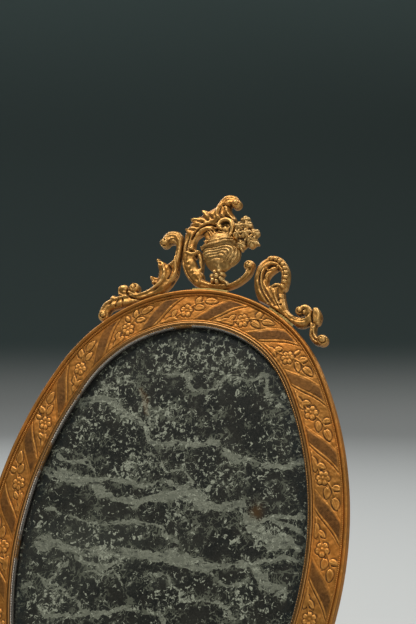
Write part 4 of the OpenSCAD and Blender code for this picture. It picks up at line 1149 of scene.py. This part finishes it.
def right_scroll():
    """Beaded loop that runs down into two curls."""
    r = casting(16, 47.5, 64, 98)
    loop = [(28.6, 85.3, 1.1), (28.8, 88.4, 1.2), (28, 91.2, 1.4), (26, 93.6, 1.6),
            (23.3, 94.3, 1.6), (21, 92.9, 1.7), (20, 90, 1.8), (20.4, 87, 2.1), (21.8, 84, 2.6),
            (23.9, 81.5, 3.0), (26.2, 79.2, 3.0), (28.3, 77, 2.5), (30.8, 75.3, 1.8),
            (33.5, 74, 1.5), (36.4, 73.4, 1.6), (38.7, 74.3, 1.3)]
    r.run([(25.3, 92.2, 0.8), (23.2, 90.7, 1.0), (22, 88.6, 1.0), (22.2, 86, 1.2),
           (23.8, 83.9, 1.3), (26.4, 84.6, 1.2), (28.5, 85.2, 0.9)], -0.1)
    r.run([(27.2, 84.2, 1.6), (27.9, 81.6, 1.5), (28.6, 79, 1.7), (29.8, 77.4, 1.2)], 0.3)
    r.run([(24.4, 84.6, 1.2), (25.2, 82.4, 2.4), (26.6, 79.8, 2.8), (28.4, 77.4, 2.0)], 0.5)
    r.run(loop, 0.6, "channel")
    r.run([(39.4, 76.4, 1.2), (40, 73.6, 1.2), (40.1, 71, 1.0), (40.5, 68.8, 1.1),
           (41.9, 67.4, 1.1), (43.4, 67.1, 1.1)],
          0.35, "channel")
    r.run([(38.4, 74.3, 1.3), (38.1, 77, 1.2), (36.8, 78.3, 1.0), (35.4, 77.7, 0.9)], 0.5)
    # long folds from the loop down the body
    for pts, width, depth in (
        ([(25.2, 92.4), (22.6, 92.5), (20.9, 91.0), (20.3, 88.4), (20.9, 85.4), (22.6, 82.4),
          (24.6, 79.8)], 0.26, 0.42),
        ([(23.6, 90.9), (22.2, 90.4), (21.6, 88.6), (21.9, 86.2), (23.2, 83.6), (25.2, 80.8),
          (27.0, 78.6)], 0.24, 0.38),
        ([(24.6, 84.3), (25.6, 82.2), (27.0, 80.0), (28.4, 78.0)], 0.22, 0.3),
        ([(27.0, 84.4), (27.4, 82.2), (28.2, 79.8), (29.6, 77.6), (31.6, 75.6)], 0.22, 0.34),
    ):
        r.groove(pts, width, depth)
    r.ridge([(21.4, 91.2), (20.9, 88.4), (21.5, 85.6), (23.0, 82.8), (25.2, 80.0)], 0.3, 0.4)
    r.ridge([(26.2, 84.6), (26.6, 82.2), (27.6, 79.9), (29.2, 77.5)], 0.3, 0.35)
    r.ball(22.4, 91.2, 0.45, 0.1)
    for k in range(3):
        r.groove([(29.3 - 0.1 * k, 83.4 - 2.2 * k), (28.0 - 0.2 * k, 82.8 - 2.0 * k)], 0.2, 0.4)
    path = spline([(23.4, 94.9), (25.4, 94.5), (27.2, 93.0), (28.5, 91.0), (29.0, 88.8),
                   (28.9, 86.8), (28.6, 85.2)], 8)
    step = np.concatenate([[0], np.cumsum(np.hypot(*np.diff(path, axis=0).T))])
    for d in np.linspace(0, step[-1], 9):
        r.ball(float(np.interp(d, step, path[:, 0])), float(np.interp(d, step, path[:, 1])), 0.8,
               1.15, edge=0.15)
    r.ball(25.7, 92.2, 0.5, 0.6)
    r.run([(24.8, 85.2, 0.4), (26.6, 85.9, 0.6), (28.6, 85.0, 0.6)], 0.6)
    r.ball(35.2, 77.2, 1.5, 0.95, coil=0.5, turn=0.6)
    r.ball(36.9, 76.6, 0.8, 0.75)
    r.run([(40.4, 77.2, 1.1), (40.9, 75.4, 1.5), (41.1, 73.7, 1.1)], 0.8)
    r.groove([(39.6, 77.4), (39.6, 75.2), (39.9, 73.2)], 0.24, 0.7)
    r.groove([(41.6, 73.4), (40.7, 72.9), (40.4, 72.2)], 0.3, 0.6)
    r.groove([(33.6, 75.2), (35.0, 74.4), (37.0, 74.6), (38.2, 76.0)], 0.26, 0.6)
    r.ball(43.7, 67.6, 1.75, 0.9, coil=0.5, turn=1.4)
    r.groove([(40.2, 69.8), (41.0, 68.2), (42.2, 67.2)], 0.22, 0.4)
    r.rim = np.minimum(r.rim, np.hypot(r.u - 15.6, r.v - 93.1) - 2.1)
    off_rim(r)
    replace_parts(r.mesh(CREST_BACK, "acanthus_scroll_right", "head", GILT_CREST, limit=1.25),
                "crest_right_scroll")


def vase():
    """Draped vase in front of the cartouche."""
    r = Relief(-2.5, 13.5, 89.5, 104, 0.16, VASE_EDGE)
    r.run([(4.8, 101.0, 4.7), (4.7, 99.6, 5.4), (5.1, 97.4, 5.8), (5.6, 95.4, 5.1),
           (5.9, 93.8, 3.5), (5.9, 92.3, 2.2)], 1.25)
    r.ball(7.9, 96.6, 3.6, 1.75, edge=0.2, squash=1.1, tilt=0.5)
    r.ball(2.2, 97.2, 3.0, 1.45, edge=0.3, squash=0.8)
    r.run([(-1.2, 98.6, 0.6), (1.2, 99.5, 0.9), (4.0, 100.0, 0.9), (7.0, 100.8, 0.9),
           (9.8, 100.9, 0.6)], 1.75, "fold")
    r.run([(0.2, 100.9, 0.5), (3.4, 101.2, 0.8), (6.4, 101.9, 0.8), (9.0, 101.9, 0.5)], 1.35,
          "fold")
    r.run([(9.9, 92.9, 0.5), (11.3, 94.6, 0.8), (11.7, 96.8, 0.8), (10.9, 99.0, 0.5)], 1.1, "fold")
    # draped folds run from the lip round the shell and down to the neck
    for pts, depth in (
        ([(-1.4, 97.9), (1.4, 98.7), (4.4, 99.0), (7.2, 99.7), (9.6, 99.2), (10.8, 97.3),
          (10.5, 95.2), (9.2, 93.6)], 0.38),
        ([(-1.2, 96.9), (1.4, 97.8), (4.0, 98.0), (6.6, 98.6), (8.7, 98.3), (9.7, 96.9),
          (9.3, 95.2), (8.2, 93.9)], 0.34),
        ([(-0.6, 96.0), (1.8, 96.8), (4.2, 97.1), (6.2, 97.6), (8.0, 97.3), (8.6, 96.1),
          (8.0, 94.9), (7.2, 94.0)], 0.36),
        ([(0.2, 95.0), (2.2, 95.8), (4.4, 96.2), (6.2, 96.5), (7.4, 95.9), (6.9, 94.6)], 0.3),
        ([(1.4, 94.1), (3.2, 94.7), (4.8, 95.1), (6.0, 94.9)], 0.24),
    ):
        r.groove(pts, 0.22, depth)
    r.run([(3.9, 92.6, 0.5), (5.9, 92.1, 0.7), (7.9, 92.6, 0.5)], 0.9)
    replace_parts(r.mesh(VASE_BACK, "draped_vase", "head", GILT_VASE, limit=2.28), "flower_vase")


def flower(r, u, v, size, tall, petals, turn, edge=VASE_EDGE):
    """A small open flower: rounded petals round a beaded eye."""
    du, dv = r.u - u, r.v - v
    d, a = np.hypot(du, dv), np.arctan2(dv, du) + turn
    lobe = np.abs(np.cos(petals / 2 * a))
    rim = size * (0.72 + 0.28 * lobe**0.6)
    e = rim - d
    t = np.clip(d / rim, 0, 1)
    dome = np.sqrt(np.maximum(1 - (t - 0.45) ** 2 / 0.34, 0))
    h = edge + (tall - edge) * (0.45 + 0.55 * lobe**0.8) * dome
    h = h - 0.24 * hump(lobe, 1.0, 0.10) * ease(t, 0.3, 0.6)
    r.put(e, h)
    r.ball(u, v, 0.28 * size, tall + 0.1, edge=tall - 0.9)


def flowers():
    """Bunch of nine open flowers beside the vase."""
    r = Relief(7.8, 20, 96, 112, 0.16, VASE_EDGE)
    lobes = [(12.2, 108.6, 1.8, 1.2), (13.3, 106.5, 1.9, 1.6), (10.7, 106.2, 2.1, 1.8),
             (10.8, 103.6, 2.1, 1.95), (13.4, 103.6, 2.1, 2.15), (16.2, 103.7, 1.9, 1.4),
             (14.9, 102.0, 1.8, 1.7), (12.4, 99.7, 1.9, 1.5), (15.9, 100.6, 2.1, 1.2)]
    for u, v, size, tall in lobes:
        r.ball(u, v, 0.92 * size, tall - 0.35)
    rng = np.random.default_rng(19)
    for k, (u, v, size, tall) in enumerate(lobes):
        flower(r, u, v, size, tall - 0.1, 5 + k % 2, float(rng.uniform(0, 2)))
        for _ in range(3):
            a, d = float(rng.uniform(0, 6.28)), float(rng.uniform(0.5, 0.95)) * size
            bud, drop = float(rng.uniform(0.35, 0.55)), float(rng.uniform(0.1, 0.6))
            r.ball(u + d * math.cos(a), v + d * math.sin(a), bud, tall - drop, edge=tall - 1.6)
    r.run([(16.2, 101.0, 0.9), (17.4, 100.4, 0.7), (18.2, 99.9, 0.35)], 0.6, "fold")
    r.rim = np.minimum(r.rim, np.maximum(r.v - 101.2, r.u - 10.7))
    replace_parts(r.mesh(VASE_BACK, "flower_bunch", "head", GILT_VASE, limit=2.18), "bouquet")


def rosette():
    """Seven small petals and a leaf under the vase."""
    r = Relief(1.5, 10, 84.8, 93, 0.15, VASE_EDGE)
    u, v = 5.7, 88.8
    for k in range(7):
        a = 2 * math.pi * k / 7 + 0.35
        ray = [(u + d * math.cos(a), v + d * math.sin(a)) for d in (1.1, 1.75, 2.4)]
        r.ball(*ray[1], 1.12, 1.5, squash=0.72, tilt=a)
        r.groove([ray[0], ray[2]], 0.16, 0.22)
    r.ball(u, v, 1.0, 1.85, edge=0.6)
    r.groove([(5.3, 88.8), (6.1, 88.8)], 0.16, 0.3)
    r.run([(7.6, 87.2, 0.7), (8.8, 86.6, 0.9), (9.6, 85.8, 0.5)], 0.9, "fold")
    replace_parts(r.mesh(VASE_BACK, "neck_rosette", "head", GILT_VASE, limit=1.94), "vase_rosette")


left_scroll()
cartouche()
right_scroll()
vase()
flowers()
rosette()

# ------------------------------------------------------------------ the handle

# half widths of the grip along it
GRIP = [(GRIP_START, 9.0), (24, 9.6), (33, 13.0), (44, 17.0), (56, 15.6), (68, 12.6), (79, 11.0),
        (90, 12.6), (GRIP_END, 15.0)]
RIVETS = (28.0, 62.0, 92.0)     # the grip's rivets, from the hinge pin
RIVET_HOLE = 1.56               # radius


def grip_outline(r):
    """How far inside the grip's outline each point is."""
    pts = spline(GRIP, 10)
    half = np.interp(r.v, pts[:, 0], pts[:, 1])
    slope = np.gradient(half, r.cell, axis=1)
    side = (half - np.abs(r.u)) / np.sqrt(1 + slope**2)
    return np.minimum(side, np.minimum(r.v - GRIP_START, GRIP_END - r.v))


def grip_relief(name, node, under):
    """One of the two chased shells of the grip, face up in its own drawing."""
    face = MID_Z           # height of the shell over the parting line
    hi, low = face - 0.08, face - 1.3
    r = Relief(-18.5, 18.5, GRIP_START - 1, GRIP_END + 1, 0.26, 0.0)
    e = grip_outline(r)
    outline = e.copy()
    top = face - 1.1 + 0.22 * ease(e, 0.0, 1.4)
    r.rim = e
    r.top = top + 0.75 * hump(e, 1.15, 0.55) - 0.18 * hump(e, 2.1, 0.28)
    r.top = r.top + 0.03 * fbm(r.u, r.v, 1.4, 211, 3) * ease(e, 2.1, 2.7)

    def lay(points, top, kind):
        """A run that stays inside the raised edge."""
        keep = r.top.copy()
        r.run(points, top, kind, edge=low)
        r.top = np.where(outline > 1.9, r.top, keep)

    # acanthus leaves on each side, from the ferrule to the tail
    leaves = [
        ("flute", hi, [(1.2, 19, 0.8), (3.0, 25, 1.3), (5.4, 31, 1.8), (9.0, 37, 1.6),
                       (11.8, 41, 0.8)]),
        ("fold", hi - 0.1, [(1.6, 24, 0.6), (2.6, 31, 1.2), (4.4, 36, 0.6)]),
        ("flute", hi, [(12.6, 47, 0.9), (11.4, 53, 1.6), (8.8, 59, 1.5), (5.6, 64, 1.0),
                       (3.2, 68, 0.6)]),
        ("fold", hi - 0.1, [(9.6, 55, 0.5), (8.0, 62, 1.1), (6.6, 69, 1.1), (5.9, 74, 0.6)]),
        ("flute", hi, [(6.2, 82, 0.6), (7.8, 88, 1.3), (10.0, 94, 1.5), (11.0, 97, 0.8)]),
    ]
    for side in (-1, 1):
        for kind, height, pts in leaves:
            lay([(side * u, v, half) for u, v, half in pts], height, kind)
        r.ball(side * 12.2, 43.4, 1.5, hi, edge=low, coil=0.5, turn=1.0 * side)
        r.ball(side * 4.0, 70.4, 1.3, hi, edge=low, coil=0.5, turn=1.0 * side)
        r.ball(side * 10.6, 95.6, 1.3, hi, edge=low)
    # round medallions with beaded edges; the shell on the table keeps them low
    tall = face + (0.55 if not under else -0.08)
    for mid, size in ((46.0, 8.2), (79.0, 4.4)):
        d = np.hypot(r.u / size, (r.v - mid) / size)
        dome = 0.35 + 0.65 * np.sqrt(np.maximum(1 - d**2, 0))
        r.top = np.where(d < 1, face - 0.7 + (tall - face + 0.7) * dome, r.top)
        r.top = r.top - 0.25 * hump(d, 1.0, 0.05)
        beads = int(2 * math.pi * size / 1.25)
        for k in range(beads):
            a = 2 * math.pi * k / beads
            u, v = size * 0.9 * math.cos(a), mid + size * 0.9 * math.sin(a)
            r.ball(u, v, 0.55, tall - 0.05, edge=face - 0.9)
        flower(r, 0, mid, size * 0.55, tall + (0.05 if not under else 0.0), 6, 0.5, edge=face - 0.7)
    r.rim = outline
    for s in RIVETS:
        d = np.hypot(r.u, r.v - s)
        r.cut(RIVET_HOLE - d, 0.12)
        r.top = np.where(d < 2.9, np.minimum(r.top, face - 0.45), r.top) + 0.3 * hump(d, 2.6, 0.35)
    limit = face if under else face + 0.68
    side_up = np.array([1, 1, -1 if under else 1])
    obj = r.mesh(0.04, name, "handle", GILT_HANDLE, limit - 0.01,
                 put=lambda p: on_table(p * side_up + np.array([0, 0, MID_Z])))
    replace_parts(obj, node)


def tail_scroll():
    """Pierced scroll at the handle's end, modelled on both faces."""
    r = Relief(-17.5, 17.5, GRIP_END - 0.6, GRIP_END + 20.5, 0.24, 2.6)
    e = np.minimum(12 - np.abs(r.u), np.minimum(r.v - GRIP_END - 0.05, GRIP_END + 4.05 - r.v))
    r.put(e, 2.6 + 1.0 * ease(e, 0, 0.8))
    d = np.hypot(r.u, r.v - GRIP_END - 10)
    a = np.arctan2(r.v - GRIP_END - 6, r.u)
    fan = 0.5 + 0.5 * np.cos(a * 14)
    e = 8.4 - d
    r.put(e, 2.6 + 0.75 * ease(e, 0, 0.9) + 0.35 * fan * ease(d, 4.2, 6.4) * ease(e, 0.3, 1.1))
    for side in (-1, 1):
        r.ball(side * 11, GRIP_END + 5.2, 5.0, 4.95, edge=2.4, coil=0.42,
               turn=0.8 if side > 0 else 2.2)
        r.run([(side * 7.6, GRIP_END + 1.6, 0.8), (side * 4.2, GRIP_END + 3.0, 1.1),
               (0, GRIP_END + 3.6, 0.8)], 4.4, "flute")
    eye = np.hypot(r.u, r.v - GRIP_END - 12)
    r.top = r.top + 0.7 * hump(eye, 4.2, 0.55)
    r.cut(3.2 - eye, 0.5)
    r.rim = np.minimum(r.rim, r.v - GRIP_END - 0.05)
    top = np.minimum(r.top, 4.97)
    z = np.arange(-5.6, 5.6 + r.cell, r.cell)[None, None, :]
    field = smooth_min(r.rim[..., None], top[..., None] - np.abs(z), 0.4)
    obj = r.solid(field, -5.6, r.hollows(top, 0.8), "pierced_tail_scroll", "handle", GILT_HANDLE,
                  put=lambda p: on_table(p + np.array([0, 0, MID_Z])))
    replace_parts(obj, "end_scroll")


grip_relief("grip_shell_back", "grip_back", under=False)
grip_relief("grip_shell_front", "grip_front", under=True)
tail_scroll()

# ------------------------------------------------------------------ the back


def rear_plate():
    """Back plate with a turned border of fine lines."""
    rows, rings = 360, 60
    front, face, plain = -7.02, -8.1, 20.0
    s = np.linspace(0, TOTAL_LEN, rows, endpoint=False)
    loops = [(*oval(s, RECESS), front), (*oval(s, RECESS), face + 0.2)]
    for off in np.concatenate([[9.8], np.linspace(10.2, plain, 44)]):
        n = face + 0.10 * hump(off, 12.0, 0.5) * 2
        n += 0.16 * hump(off, 13.6, 0.3) + 0.16 * hump(off, 14.6, 0.3)
        n += 0.05 * (1 + math.cos(off * 9)) * ease(off, 15.4, 15.8) * ease(off, 18.6, 18.2)
        loops.append((*oval(s, off), n))
    bu, bv = oval(s, plain)
    loops += [(bu * t, bv * t, face) for t in np.linspace(1, 1 / rings, rings)[1:]]
    u, v, n = plate_points(loops, rows, front, face)
    # the turned lines are grooves: deeper means darker, grime with painted shade
    deep = np.clip(0.42 + (n - face) * 3.0, 0, 1)
    deep[: 2 * rows] = 0.6
    deep[-2:] = 0.5, 0.42
    verts = place(np.stack([u, v, n], -1))
    obj = mesh_object("lined_back_plate", verts, plate_faces(verts, len(loops), rows), "head",
                      PLATE_BRASS, {"cavity": deep}, sharp=40)
    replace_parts(obj, "back_plate")


rear_plate()

# ------------------------------------------------------------------ CAD nodes that stay

# nodes, finish, and the width in mm of their softened edges (0 leaves them sharp)
STAY = [
    (["silvering"], SILVERING, 0), (["packing_felt"], FELT, 0), (["backing_board"], BOARD, 0),
    (["handle_core"], CORE, 0), (["crest_pins"], OLD_STEEL, 0),
    ([f"turn_button_{k}" for k in range(1, 5)], BUTTON_BRASS, 0.25),
    (["turn_screws", "hinge_screws"], OLD_STEEL, 0.12),
    (["strap_left", "strap_centre", "strap_right"], STRAP_BRASS, 0.15),
    (["hinge_block"], GILT_PLAIN, 0.45), (["handle_knuckle"], GILT_PLAIN, 0.4),
    (["hinge_pin"], OLD_STEEL, 0.2), (["grip_rivets"], OLD_STEEL, 0.3),
    (["handle_ferrule"], BUTTON_BRASS, 0.6),
]
for nodes, mat, soft in STAY:
    for obj in (frame["nodes"][node] for node in nodes):
        if not obj.material_slots:
            obj.data.materials.append(mat)
        for slot in obj.material_slots:
            slot.material = mat
        if soft:
            bevel = obj.modifiers.new("soft_edge", "BEVEL")
            bevel.width = soft / 1000
            bevel.segments = 3
            bevel.limit_method = "ANGLE"
            bevel.angle_limit = math.radians(35)
            bevel.harden_normals = False

# ------------------------------------------------------------------ camera, floor and light

scene = bpy.context.scene
cam_data = bpy.data.cameras.new("camera")
cam_data.lens, cam_data.sensor_width = 85, 36
cam = bpy.data.objects.new("camera", cam_data)
cam.location = (0.191508, -0.426806, 0.162700)
cam.rotation_euler = (math.radians(90), 0, math.radians(23.563))
scene.collection.objects.link(cam)
scene.camera = cam


def studio_floor():
    """Round seamless floor that turns up into a low wall."""
    flat, radius, wall = 1.5, 2.3, 1.1
    sides = 128
    prof = [(0.0, 0.0)] + [(flat * k / 6, 0.0) for k in range(1, 7)]
    bend = radius - flat
    prof += [(flat + bend * math.sin(a),
              bend - bend * math.cos(a)) for a in np.radians(np.linspace(4, 90, 22))]
    prof.append((radius, wall))
    verts, faces = [(0, 0, 0)], []
    for r, z in prof[1:]:
        for k in range(sides):
            a = 2 * math.pi * k / sides
            verts.append((r * math.cos(a), r * math.sin(a), z))
    for k in range(sides):
        faces.append((0, 1 + k, 1 + (k + 1) % sides))
    for row in range(len(prof) - 2):
        for k in range(sides):
            a, b = 1 + row * sides + k, 1 + row * sides + (k + 1) % sides
            faces.append((a, a + sides, b + sides, b))
    mesh = bpy.data.meshes.new("studio_floor")
    mesh.from_pydata(verts, [], faces)
    mesh.update()
    mesh.shade_smooth()
    obj = bpy.data.objects.new("studio_floor", mesh)
    scene.collection.objects.link(obj)
    g = Graph("studio_paper")
    split = g.tree.nodes.new("ShaderNodeSeparateXYZ")
    g.link(g.where, split.inputs[0])
    height = split.outputs["Z"]
    colour = g.mix(g.step(height, 0.0, 0.12), (0.46, 0.47, 0.465), (0.070, 0.098, 0.096))
    colour = g.mix(g.step(height, 0.45, 1.05), colour, (0.19, 0.27, 0.265))
    mesh.materials.append(g.done(colour, 0.9, 0.0))


MIRROR_AT = (0, -0.03, 0.1)     # what the lamps point at


def softbox(name, azimuth, elevation, distance, size, power, colour):
    """Area lamp aimed at the mirror; azimuth 0 is in front, positive to the right."""
    a, e = math.radians(azimuth), math.radians(elevation)
    aim = Vector((math.sin(a) * math.cos(e), -math.cos(a) * math.cos(e), math.sin(e)))
    lamp = bpy.data.lights.new(name, "AREA")
    lamp.shape, lamp.size, lamp.size_y = "RECTANGLE", size[0], size[1]
    lamp.energy, lamp.color = power, colour
    obj = bpy.data.objects.new(name, lamp)
    obj.location = Vector(MIRROR_AT) + distance * aim
    obj.rotation_euler = (-aim).to_track_quat("-Z", "Y").to_euler()
    scene.collection.objects.link(obj)


studio_floor()
softbox("key", -66, 72, 1.3, (0.7, 0.7), 17, (1.0, 0.97, 0.92))
softbox("front", 58, 24, 1.4, (0.7, 0.9), 6, (1.0, 0.98, 0.96))
softbox("rear", 150, 48, 1.4, (0.8, 0.5), 8, (0.95, 0.98, 1.0))
softbox("rear_left", -130, 30, 1.4, (0.5, 0.8), 5, (0.95, 0.98, 1.0))

world = bpy.data.worlds.new("studio")
scene.world = world
world.use_nodes = True
background = world.node_tree.nodes["Background"]
background.inputs["Color"].default_value = (0.030, 0.037, 0.036, 1)
background.inputs["Strength"].default_value = 1.0
scene.view_settings.view_transform = "Standard"
